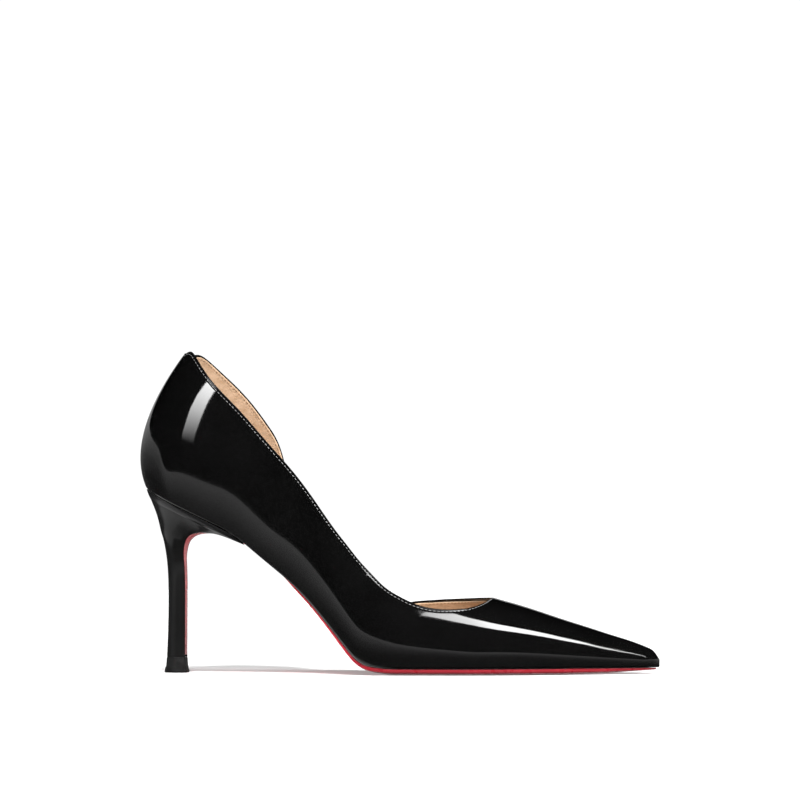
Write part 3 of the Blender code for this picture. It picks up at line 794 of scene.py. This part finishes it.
def join_rings(bm, rings):
    for here, there in zip(rings, rings[1:]):
        for i in range(len(here)):
            j = (i + 1) % len(here)
            bm.faces.new((here[i], here[j], there[j], there[i]))


def closed_loft(rings):
    """A loft through closed rings, with open ends; its vertices come back ring by ring."""
    bm = bmesh.new()
    verts = [[bm.verts.new(point) for point in ring] for ring in rings]
    join_rings(bm, verts)
    return bm, verts


def capped_loft(rings):
    bm, verts = closed_loft(rings)
    bm.faces.new(verts[-1])
    bm.faces.new(verts[0][::-1])
    return bm


def bevel(thing, width, segments=3, angle=30):
    made = thing.modifiers.new("soft_edge", "BEVEL")
    made.width, made.segments = width, segments
    made.limit_method, made.angle_limit = "ANGLE", math.radians(angle)
    made.harden_normals = False


# Finishes
RED_LIT_AND_SHADED_TONES = (
    # darker and paler grain tones of each: painted light up the waist and the heel, painted shade near
    # the floor, painted shadow along the very edge
    ((0.78, 0.040, 0.062), (0.88, 0.052, 0.075)),
    ((0.26, 0.010, 0.018), (0.31, 0.013, 0.023)),
    ((0.030, 0.003, 0.004), (0.045, 0.004, 0.006)),
)
TAN_DARK, TAN_PALE = (0.47, 0.31, 0.19), (0.66, 0.47, 0.32)
THREAD_GREY, THREAD_BROWN = (0.30, 0.30, 0.30), (0.20, 0.10, 0.04)
PATENT_TONES, HEEL_TONES, RUBBER_TONES = (0.0025, 0.00375), (0.005, 0.008), (0.008, 0.016)
EDGE_SHADE_HEIGHTS = (0.0008, 0.0021)     # heights between which the painted shadow along the sole's lower edge fades out
PAINTED_LIGHT_HEIGHT = 0.045                # height where the painted light on the red is strongest
UNDERSIDE = (-0.75, -0.97)       # how far a face has to turn down to count as underside


def fill_ramp(bar, stops):
    """Set a colour ramp's stops, each a position and a colour."""
    while len(bar.elements) < len(stops):
        bar.elements.new(0.5)
    for element, (at, colour) in zip(bar.elements, stops):
        element.position = at
        element.color = (*colour, 1.0)


class Nodes:
    """Shader nodes of one material, made and linked by name."""

    def __init__(self, name):
        self.material = bpy.data.materials.new(name)
        self.material.use_nodes = True
        self.tree = self.material.node_tree
        self.shader = self.tree.nodes["Principled BSDF"]
        self.coordinates = self.node("TexCoord").outputs

    def node(self, kind, links=(), **values):
        """A node with linked sockets and set ones; underscores in a name stand for spaces."""
        made = self.tree.nodes.new("ShaderNode" + kind)
        for socket, value in values.items():
            made.inputs[socket.replace("_", " ")].default_value = value
        for socket, source in links:
            self.tree.links.new(source, made.inputs[socket])
        return made

    def put(self, **values):
        for socket, value in values.items():
            self.shader.inputs[socket.replace("_", " ")].default_value = value

    def link(self, source, socket):
        self.tree.links.new(source, self.shader.inputs[socket])

    def noise(self, scale, detail=2.0, rough=0.5):
        place = [("Vector", self.coordinates["Object"])]
        return self.node("TexNoise", place, Scale=scale, Detail=detail, Roughness=rough).outputs["Fac"]

    def cells(self, scale):
        place = [("Vector", self.coordinates["Object"])]
        return self.node("TexVoronoi", place, Scale=scale).outputs["Distance"]

    def bump(self, height, strength, distance, under=None):
        links = [("Height", height)] + ([] if under is None else [("Normal", under)])
        return self.node("Bump", links, Strength=strength, Distance=distance).outputs["Normal"]

    def ramp(self, source, stops):
        made = self.node("ValToRGB", [("Fac", source)])
        fill_ramp(made.color_ramp, stops)
        return made.outputs["Color"]

    def greys(self, source, tones, far=0.8):
        return self.ramp(source, ((0.3, (tones[0],) * 3), (far, (tones[1],) * 3)))

    def spread(self, source, low, high):
        return self.node("MapRange", [("Value", source)], To_Min=low, To_Max=high).outputs["Result"]

    def mark(self, name):
        made = self.node("Attribute")
        made.attribute_name = name
        return made.outputs["Fac"]

    def share_of_z(self, coordinate, start, end):
        """From 0 to 1 as the z of a place or a normal goes from start to end."""
        parts = self.node("SeparateXYZ", [("Vector", self.coordinates[coordinate])])
        place = [("Value", parts.outputs["Z"])]
        return self.node("MapRange", place, From_Min=start, From_Max=end).outputs["Result"]

    def mix(self, share, first, second):
        made = self.node("Mix")
        made.data_type = "RGBA"
        for socket, source in (("Factor", share), ("A", first), ("B", second)):
            self.tree.links.new(source, made.inputs[socket])
        return made.outputs["Result"]


def patent(name):
    """Black patent: dark dyed leather under a thick clear film, duller on the folded edge."""
    n = Nodes(name)
    n.link(n.greys(n.noise(60, 3), PATENT_TONES), "Base Color")
    n.link(n.spread(n.noise(420, 2), 0.04, 0.07), "Roughness")
    n.put(IOR=1.5, Coat_Roughness=0.012, Coat_IOR=1.5)
    n.link(n.spread(n.mark("fold"), 1.0, 0.25), "Coat Weight")
    n.link(n.spread(n.mark("fold"), 0.5, 0.12), "Specular IOR Level")
    film = n.bump(n.noise(38, 1.0), 0.012, 0.001)
    n.link(n.bump(n.cells(2600), 0.02, 0.0002, film), "Normal")
    n.link(film, "Coat Normal")
    return n.material


def heel_patent(name):
    """The same leather stretched over the heel, a little duller."""
    n = Nodes(name)
    n.link(n.greys(n.noise(80, 3), HEEL_TONES), "Base Color")
    n.link(n.spread(n.noise(420, 2), 0.34, 0.42), "Roughness")
    n.put(Specular_IOR_Level=0.4, Coat_Weight=0.6, Coat_Roughness=0.10)
    film = n.bump(n.noise(70, 1.0), 0.05, 0.001)
    n.link(n.bump(n.cells(2600), 0.06, 0.0002, film), "Normal")
    n.link(film, "Coat Normal")
    return n.material


def lining(name):
    """Vegetable-tanned kid with a fine grain."""
    n = Nodes(name)
    n.link(n.ramp(n.noise(240, 6, 0.65), ((0.32, TAN_DARK), (0.68, TAN_PALE))), "Base Color")
    n.link(n.spread(n.noise(500, 3), 0.42, 0.62), "Roughness")
    n.put(Specular_IOR_Level=0.35, Sheen_Weight=0.08, Sheen_Roughness=0.4)
    soft = n.bump(n.noise(160, 4), 0.25, 0.0006)
    n.link(n.bump(n.cells(2200), 0.30, 0.0002, soft), "Normal")
    return n.material


def lacquer(name):
    """Red lacquered sole leather, with painted light paler up the waist and the heel, painted shade
    deeper near the floor and a painted shadow along its lower edge.
    """
    n = Nodes(name)
    grain = n.noise(90, 4)
    # The three reds: painted light up the waist and heel, painted shade near the floor, painted shadow
    # along the lower edge.
    painted_light_red, deep, painted_edge_shadow = (n.ramp(grain, ((0.35, low), (0.7, high))) for low, high in RED_LIT_AND_SHADED_TONES)
    # Side faces: painted shadow along the lower edge, then painted shade near the floor giving way to
    # painted light higher up.
    side = n.mix(n.share_of_z("Object", *EDGE_SHADE_HEIGHTS), painted_edge_shadow,
                 n.mix(n.share_of_z("Object", 0.002, PAINTED_LIGHT_HEIGHT), deep, painted_light_red))
    under = n.mix(n.share_of_z("Object", 0.0, PAINTED_LIGHT_HEIGHT), deep, painted_light_red)
    # Faces turned down keep the painted light and shade by height, without the painted edge shadow.
    n.link(n.mix(n.share_of_z("Normal", *UNDERSIDE), side, under), "Base Color")
    n.link(n.spread(n.noise(300, 3), 0.22, 0.36), "Roughness")
    n.put(Coat_Weight=0.35, Coat_Roughness=0.12, Sheen_Weight=0.35, Sheen_Roughness=0.35)
    fine = n.bump(n.noise(900, 3), 0.12, 0.0002)
    n.link(n.bump(n.noise(40, 2), 0.06, 0.001, fine), "Normal")
    return n.material


def rubber(name):
    n = Nodes(name)
    n.link(n.greys(n.noise(300, 4), RUBBER_TONES, 0.7), "Base Color")
    n.link(n.spread(n.noise(700, 2), 0.30, 0.5), "Roughness")
    n.link(n.bump(n.noise(1500, 3), 0.25, 0.0002), "Normal")
    return n.material


def thread(name, colour):
    n = Nodes(name)
    paler = tuple(c * 1.15 for c in colour)
    n.link(n.ramp(n.noise(2500, 2), ((0.35, colour), (0.65, paler))), "Base Color")
    n.put(Roughness=0.6, Sheen_Weight=0.2)
    n.link(n.bump(n.noise(5000, 2), 0.5, 0.0001), "Normal")
    return n.material


# Pieces
def seam_row(side):
    """Points of the wall along the seam, with outward normals."""
    high, low = [], []
    for run in visual_runs():
        if PLAN_ALONG(run) > THROAT + 1e-6:
            continue
        wall, below, _ = wall_profile(side, run, 0.0)
        for store, down in ((high, STITCH_DOWN - STITCH_ROOM), (low, STITCH_DOWN + STITCH_ROOM)):
            store.append([np.interp(-down, -below, wall[:, k]) for k in range(3)])
    low, high = np.array(low), np.array(high)
    spots = (low + high) / 2
    normals = np.cross(np.gradient(spots, axis=0), high - low) * -side
    return spots, normals / np.linalg.norm(normals, axis=1)[:, None]


def add_stitch(bm, centre, axis, up, height):
    """One stitch: a ring of points for each step along it, closed at both ends."""
    across = np.cross(up, axis)
    rings = []
    for u in range(STITCH_RINGS):
        along = math.pi * (u + 0.5) / STITCH_RINGS
        swell = math.sin(along) ** STITCH_SWELL
        middle_of_ring = centre - axis * math.cos(along) * STITCH_LENGTH / 2
        ring = []
        for v in range(STITCH_SIDES):
            round_it = 2 * math.pi * v / STITCH_SIDES
            ring.append(bm.verts.new(middle_of_ring
                                     + across * math.cos(round_it) * STITCH_WIDTH / 2 * swell
                                     + up * math.sin(round_it) * height / 2 * swell))
        rings.append(ring)
    join_rings(bm, rings)
    bm.faces.new(rings[0][::-1])
    bm.faces.new(rings[-1])


def stitches(name, lift, height, phase):
    """Separate thread stitches lying on the wall along the topline."""
    bm = bmesh.new()
    for side in (OUTER, INNER):
        spots, normals = seam_row(side)
        arc = np.concatenate([[0.0], np.cumsum(np.linalg.norm(np.diff(spots, axis=0), axis=1))])

        def value(array, where):
            return np.array([np.interp(where, arc, array[:, i]) for i in range(3)])

        for k in range(int(arc[-1] / STITCH_PITCH)):
            at = (k + phase) * STITCH_PITCH
            axis = (value(spots, min(at + STITCH_LENGTH / 2, arc[-1]))
                    - value(spots, max(at - STITCH_LENGTH / 2, 0)))
            axis /= np.linalg.norm(axis)
            up = value(normals, at)
            up = up - axis * np.dot(up, axis)
            up /= np.linalg.norm(up)
            add_stitch(bm, value(spots, at) + up * lift, axis, up, height)
    return from_bmesh(name, bm)


def make_sock():
    """Covered insole with bevelled edges, inside the lining."""
    toe_run, share = run_at(INSOLE_END), 1 - INSOLE_INSET / HOLLOW_RUN
    under, over = WALL + GAP, WALL + GAP + INSOLE_THICKNESS
    rings = []
    for i in range(SOCK_RINGS + 1):
        s = i / SOCK_RINGS
        eased = (1 - math.cos(math.pi * s)) / 2
        run = toe_run * (s + (eased - s) * SOLE_EASE)
        a, b = (inset_point(side, run, INSOLE_INSET, under) for side in (OUTER, INNER))
        c, d = (inset_point(side, run, INSOLE_INSET, over) for side in (OUTER, INNER))
        ring = [a] + [c + (d - c) * t for t in np.linspace(0, 1, SOCK_ACROSS)] + [b]
        for point in ring:
            point[2] += hollow(to_along(point[0])) * share
        rings.append(ring)
    bm = capped_loft(rings)
    bmesh.ops.remove_doubles(bm, verts=bm.verts, dist=WELD)
    thing = from_bmesh("insole_sock", bm, 40)
    bevel(thing, SOCK_EDGE)
    return thing


def make_sole():
    """Red sole with its flap down the front of the heel."""
    thick, inset = straight(SOLE_SECTIONS, 1), straight(SOLE_SECTIONS, 2)
    first, last = run_at(SOLE_SECTIONS[0][0]), 1.0
    rings = []
    for i in range(SOLE_RINGS + 1):
        s = i / SOLE_RINGS
        run = first + (last - first) * (s + (math.sin(math.pi / 2 * s) - s) * SOLE_EASE)
        along = PLAN_ALONG(run)
        rings.append(sole_section(run, thick(along) * SOLE_THICKNESS, inset(along)))
    rings.reverse()
    start, steps = SEAT_RING - 1, (SEAT_RING - 1) * FLAP_STEPS
    for i in range(steps + 1):
        ring = start + (FLAP_END_RING - start) * i / steps
        half = recess_half(ring) - GAP
        flat = half * FLAT_SHARE
        outline = ((OUTER, half, FLAP_THICKNESS), (OUTER, half, 0.0), (OUTER, flat, 0.0),
                   (INNER, flat, 0.0), (INNER, half, 0.0), (INNER, half, FLAP_THICKNESS))
        rings.append([front_point(ring, *corner) for corner in outline])
    bm = capped_loft(rings)
    bmesh.ops.remove_doubles(bm, verts=bm.verts, dist=WELD)
    thing = from_bmesh("sole_red", bm, 30)
    bevel(thing, SOLE_EDGE, 2)
    return thing


def make_heel_cover():
    """Heel wrapped in the same patent, its rings as fine as the wall's."""
    bm, verts = closed_loft([heel_ring(i / HEEL_STEPS) for i in range(SEAT_RING * HEEL_STEPS + 1)])
    bm.faces.new(verts[0])
    seat, count = verts[-1], len(verts[-1])
    cross = len(WING_SIDE)
    bm.faces.new(seat[:cross + 1])
    bm.faces.new(seat[count - cross - 1:])
    bm.faces.new((seat[0], seat[cross], seat[count - 1 - cross], seat[-1]))
    for i in range(cross, count // 2 - 1):
        bm.faces.new((seat[i], seat[i + 1], seat[count - 2 - i], seat[count - 1 - i]))
    back = count // 2
    bm.faces.new((seat[back - 1], seat[back], seat[back + 1]))
    bmesh.ops.remove_doubles(bm, verts=bm.verts, dist=WELD)
    bmesh.ops.dissolve_degenerate(bm, edges=bm.edges, dist=SLIVER)
    return from_bmesh("heel_cover_patent", bm, 40)


def make_tip():
    stem = heel_ring(0.0)[1:-1]
    centre = np.mean([point[:2] for point in stem], axis=0)
    rings = []
    for height, spread in TIP_ROWS:
        top = TIP_HEIGHT + TIP_RISE if height == 1 else height * TIP_HEIGHT
        ring = []
        for point in stem:
            away = point[:2] - centre
            spot = point[:2] + away / np.linalg.norm(away) * spread * TIP_FLARE
            ring.append(np.array((spot[0], spot[1], top)))
        rings.append(ring)
    thing = from_bmesh("tip_rubber_piece", capped_loft(rings), 35)
    bevel(thing, TIP_EDGE)
    return thing


def finish_piece(thing, finish, slot_name, *nodes):
    thing.data.materials.append(finish)
    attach(thing, "root")
    if nodes:
        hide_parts(*nodes)


def dress():
    """Make every piece of the shoe; the skin comes back for the light cards."""
    black, tan = patent("patent_black"), lining("lining_tan")
    skin = shell("upper_patent", 0.0, 0.0, SKIN, STITCH_DEPTH, SKIN_BULGE)
    finish_piece(skin, black, "patent_leather", "upper")
    inside = shell("upper_lining", LINING_DROP, SKIN + LINING_GAP, WALL, 0.0, LINING_BULGE)
    finish_piece(inside, tan, "lining_leather")
    finish_piece(make_sock(), tan, "lining_leather", "insole")
    sole = make_sole()
    sole.visible_glossy = False
    finish_piece(sole, lacquer("sole_lacquer"), "red_sole", "outsole")
    finish_piece(make_heel_cover(), heel_patent("heel_patent"), "heel_cover", "heel")
    finish_piece(make_tip(), rubber("tip_dark"), "tip_rubber", "heel_tip")
    finish_piece(stitches("topline_stitches", -STITCH_SUNK, STITCH_HEIGHT, 0.5),
                 thread("thread_grey", THREAD_GREY), "patent_leather")
    finish_piece(stitches("lining_stitches", -WALL - STITCH_SUNK / 3, LINING_STITCH_HEIGHT, 0.1),
                 thread("thread_brown", THREAD_BROWN), "lining_leather")
    return skin


# Stage, camera and lights
PICTURE = 800                                # side of the photo in pixels
LENS, SENSOR = 135.0, 36.0                   # millimetres
CAMERA_PLACE, CAMERA_AIM = (0.10882, -1.38273, 0.048), (0.0008, 0.0, 0.126)
CLIP = (0.01, 50.0)
FLOOR_SIZE, DOME_RADIUS = 12.0, 5.5
FLOOR_GREY, FLOOR_GLOW, DOME_GLOW = 0.8, 0.30, 1.05
SUNS = (
    # name, turn in degrees, strength, spread in degrees
    ("overhead", (32, 0, 0), 2.9, 6),
    ("front", (66, 0, 6), 1.3, 40),
    ("toe_side", (62, 0, 70), 2.6, 30),
)
SPOT_PLACE, SPOT_AIM = (0.10, -0.42, 0.24), (0.022, 0.018, 0.044)   # into the lining by the throat
SPOT_POWER, SPOT_CONE, SPOT_SIZE = 4.5, 12, 0.03

# Picture points where the photo shows the patent mirror its surroundings, in pixels
# Upper edge of the grey band that runs from the counter to the toe
BAND_EDGE = (
    (149.5, 427), (151.0, 435.4), (156.7, 444.5), (163.7, 452.2), (172.1, 459.2), (181.9, 467),
    (193.1, 474.7), (208.6, 484.5), (228.2, 495.7), (249.2, 509), (270.3, 523.8), (284.3, 537),
    (302, 555.5), (319, 578), (336, 601.5), (353, 623), (371, 637.5), (390, 646), (400, 648.9),
    (425, 650.5), (485, 652), (545, 653.8), (595, 656.8), (640, 659), (653.5, 659.4),
)
# Strip light on the quarter: left and right edge, spill past the left, from the topline down
STRIP_ROWS = (
    ((206.4, 382.5), (214.5, 391.5), 0.0), ((197.3, 394.7), (207.9, 401.7), 0.0),
    ((190.3, 408.7), (202.9, 412.9), 0.0), ((186.1, 421.3), (198.7, 424.1), 0.0),
    ((182.6, 432.6), (195.2, 434.0), 0.0), ((181.6, 439.6), (193.4, 443.8), 0.0),
)
# Long box over the toes: upper and lower edge, spill past the upper, from the throat to the tip
BOX_ROWS = (
    ((426, 614.4), (429, 616.6), 0.6), ((440, 615.0), (442, 619.0), 0.6),
    ((454, 615.6), (458, 622.3), 0.35), ((467.6, 617.5), (473, 625.2), 0.0),
    ((484.5, 621.4), (490, 628.5), 0.0), ((518.3, 628.2), (522, 633.3), 0.0),
    ((552, 635), (555, 638.8), 0.0), ((585.9, 642.9), (588, 645), 0.0),
    ((619.7, 651), (620, 651.8), 0.0), ((646, 657), (646, 657.6), 0.0),
)
EDGE_STEP, EDGE_SOFT, EDGE_BLUR = 2.0, 0.3, 8.0   # pixels, then degrees
CREST_POINTS, BAND_POINTS = 120, 240
CARD_LEAD = 0.8                                   # how far a card goes on before its first row
STRIP_DISTANCE, BOX_DISTANCE = 0.27, 1.0
BAND_REACH, BACK_REACH = 4.0, 3.6

# The light along the cards, as shares of their strength from one end or edge to the other
STRIP_FADE = ((0.0, 1.0), (0.14, 1.0), (0.4, 0.62), (0.66, 0.28), (0.87, 0.08), (1.0, 0.0))
BOX_FADE = ((0.0, 0.5), (0.1, 0.6), (0.4, 0.72), (0.55, 1.0), (0.86, 0.9), (1.0, 0.25))
BAND_FADE = ((0.0, 0.9), (0.08, 0.6), (0.2, 0.26), (0.36, 0.08), (1.0, 0.04))
BACK_FADE = ((0.0, 0.0), (0.12, 1.0), (0.8, 0.7), (1.0, 0.0))
BACK_TURN, BACK_CREST = (-165, -110, -60, -48), (-16.0, -16.0, -24.0, -30.0)


def emission(name, strength, fade=None):
    """A surface that gives white light; fade names a UV axis and the stops along it."""
    made = bpy.data.materials.new(name)
    made.use_nodes = True
    tree = made.node_tree
    tree.nodes.clear()
    out = tree.nodes.new("ShaderNodeOutputMaterial")
    glow = tree.nodes.new("ShaderNodeEmission")
    glow.inputs["Color"].default_value = (1, 1, 1, 1)
    glow.inputs["Strength"].default_value = strength
    tree.links.new(glow.outputs[0], out.inputs["Surface"])
    if fade:
        place = tree.nodes.new("ShaderNodeTexCoord")
        parts = tree.nodes.new("ShaderNodeSeparateXYZ")
        bar = tree.nodes.new("ShaderNodeValToRGB")
        fill_ramp(bar.color_ramp, [(at, (level,) * 3) for at, level in fade[1]])
        tree.links.new(place.outputs["UV"], parts.inputs[0])
        tree.links.new(parts.outputs[fade[0]], bar.inputs["Fac"])
        tree.links.new(bar.outputs["Color"], glow.inputs["Color"])
    return made


def hide_from(thing, *kinds):
    for kind in kinds:
        setattr(thing, "visible_" + kind, False)


def floor_and_dome():
    bpy.ops.mesh.primitive_plane_add(size=FLOOR_SIZE)
    floor = bpy.context.object
    floor.name = "floor"
    made = bpy.data.materials.new("floor_white")
    made.use_nodes = True
    shader = made.node_tree.nodes["Principled BSDF"]
    shader.inputs["Base Color"].default_value = (FLOOR_GREY, FLOOR_GREY, FLOOR_GREY, 1.0)
    shader.inputs["Roughness"].default_value = 1.0
    shader.inputs["Specular IOR Level"].default_value = 0.0
    shader.inputs["Emission Color"].default_value = (1, 1, 1, 1)
    shader.inputs["Emission Strength"].default_value = FLOOR_GLOW
    floor.data.materials.append(made)
    hide_from(floor, "glossy")
    bpy.ops.mesh.primitive_uv_sphere_add(radius=DOME_RADIUS, segments=48, ring_count=24)
    dome = bpy.context.object
    dome.name = "dome"
    dome.data.materials.append(emission("dome_white", DOME_GLOW))
    hide_from(dome, "glossy", "diffuse", "shadow")


def lamp(light, name):
    """A light's object, not seen in the patent."""
    made = bpy.data.objects.new(name, light)
    bpy.context.scene.collection.objects.link(made)
    hide_from(made, "glossy")
    return made


def aimed(place, target):
    """Rotation of a camera or spot at a place that looks at a target."""
    return (Vector(target) - Vector(place)).to_track_quat("-Z", "Y").to_euler()


def suns_and_spot():
    for name, turn, strength, spread in SUNS:
        light = bpy.data.lights.new(name, "SUN")
        light.energy, light.angle = strength, math.radians(spread)
        lamp(light, name).rotation_euler = [math.radians(a) for a in turn]
    light = bpy.data.lights.new("kick", "SPOT")
    light.energy, light.shadow_soft_size = SPOT_POWER, SPOT_SIZE
    light.spot_size = math.radians(SPOT_CONE)
    spot = lamp(light, "kick")
    spot.location, spot.rotation_euler = SPOT_PLACE, aimed(SPOT_PLACE, SPOT_AIM)
    world = bpy.data.worlds.new("studio")
    bpy.context.scene.world = world
    world.use_nodes = True
    world.node_tree.nodes["Background"].inputs["Color"].default_value = (0.0, 0.0, 0.0, 1.0)


def make_camera():
    made = bpy.data.objects.new("camera", bpy.data.cameras.new("camera"))
    made.data.lens, made.data.sensor_width = LENS, SENSOR
    made.data.clip_start, made.data.clip_end = CLIP
    made.location, made.rotation_euler = CAMERA_PLACE, aimed(CAMERA_PLACE, CAMERA_AIM)
    bpy.context.scene.collection.objects.link(made)
    bpy.context.scene.camera = made
    bpy.context.scene.view_settings.view_transform = "Standard"
    bpy.context.view_layer.update()
    return made


def card(name, corners, strength, fade):
    """A bent light card seen only in the patent; corners come in pairs along it."""
    mesh = bpy.data.meshes.new(name)
    rows = len(corners) // 2
    faces = [(2 * i, 2 * i + 1, 2 * i + 3, 2 * i + 2) for i in range(rows - 1)]
    mesh.from_pydata([tuple(c) for c in corners], [], faces)
    uv = mesh.uv_layers.new(name="uv")
    for loop in mesh.loops:
        v = loop.vertex_index
        uv.data[loop.index].uv = (v // 2 / (rows - 1), v % 2)
    thing = add(name, mesh)
    mesh.materials.append(emission(name, strength, fade))
    hide_from(thing, "camera", "diffuse", "shadow", "transmission", "volume_scatter")


def mirrored(pixel):
    """Where the skin is hit by the camera's ray through a picture point, and where it goes on."""
    centre, focal = PICTURE / 2, PICTURE * LENS / SENSOR
    x, y = (pixel[0] - centre) / focal, (centre - pixel[1]) / focal
    aim = (CAMERA.matrix_world.to_3x3() @ Vector((x, y, -1.0))).normalized()
    hit, spot, _, face = UPPER.ray_cast(CAMERA.location, aim)
    if not hit:
        return None
    mesh = UPPER.data
    loops = mesh.polygons[face].loop_indices
    shares = poly_3d_calc([mesh.vertices[mesh.loops[k].vertex_index].co for k in loops], spot)
    normal = Vector()
    for k, share in zip(loops, shares):
        normal += mesh.corner_normals[k].vector * share
    return spot, aim.reflect(normal.normalized())


def seen_at(pixel, distance):
    """The place, at a distance from the skin, that a picture point mirrors."""
    spot, ahead = mirrored(pixel)
    return spot + ahead * distance


def seen_card(name, rows, distance, strength, fade):
    """A card laid out so that its mirror image fills the rows of picture points."""
    corners = []
    for first, second, spill in rows:
        a, b = seen_at(first, distance), seen_at(second, distance)
        corners += [a + (a - b) * spill, b]
    before = [corners[k] + (corners[k] - corners[k + 2]) * CARD_LEAD for k in (0, 1)]
    card(name, before + corners, strength, (0, fade))


def compass(pixel, reach):
    """Azimuth and elevation, on a sphere round the shoe, of what a picture point mirrors."""
    found = mirrored(pixel)
    if found is None:
        return None
    spot, ahead = found
    along = spot.dot(ahead)
    place = spot + ahead * (math.sqrt(along * along - spot.dot(spot) + reach * reach) - along)
    return math.degrees(math.atan2(place.x, -place.y)), math.degrees(math.asin(place.z / reach))


def crest_of(edge, reach):
    """Elevation by azimuth of a band whose upper edge the picture shows along these points.

    The wall mirrors some azimuths twice. There the places where the edge moves most
    for each degree count most."""
    xs, ys = zip(*edge)
    found = []
    for x in np.arange(xs[0], xs[-1], EDGE_STEP):
        y = np.interp(x, xs, ys)
        here, lower = compass((x, y), reach), compass((x, y + EDGE_STEP), reach)
        if here and lower:
            found.append((*here, 1 / (EDGE_SOFT + abs(here[1] - lower[1])) ** 2))
    turn, rise, weight = np.array(found).T
    azimuths = np.linspace(turn.min(), turn.max(), CREST_POINTS)
    crest = []
    for a in azimuths:
        near = weight * np.exp(-((turn - a) / EDGE_BLUR) ** 2 / 2)
        crest.append((near * rise).sum() / near.sum())
    return azimuths, crest


def toward(azimuth, elevation, reach):
    a, e = math.radians(azimuth), math.radians(elevation)
    return (reach * math.sin(a) * math.cos(e), -reach * math.cos(a) * math.cos(e), reach * math.sin(e))


def band(name, span, crest, drop, strength, fade, reach):
    """A band of light round the shoe; crest has the azimuths and elevations of its upper edge."""
    corners = []
    for a in np.linspace(*span, BAND_POINTS):
        e = float(np.interp(a, *crest))
        corners += [toward(a, e, reach), toward(a, e - drop, reach)]
    card(name, corners, strength, (1, fade))


UPPER = dress()
floor_and_dome()
suns_and_spot()
CAMERA = make_camera()
band("back_glow", (BACK_TURN[0], BACK_TURN[-1]), (BACK_TURN, BACK_CREST), 45, 0.6, BACK_FADE, BACK_REACH)
band("table_glow", (-180, 180), crest_of(BAND_EDGE, BAND_REACH), 50, 0.5, BAND_FADE, BAND_REACH)
seen_card("heel_strip", STRIP_ROWS, STRIP_DISTANCE, 12.5, STRIP_FADE)
seen_card("toe_box", BOX_ROWS, BOX_DISTANCE, 12.0, BOX_FADE)
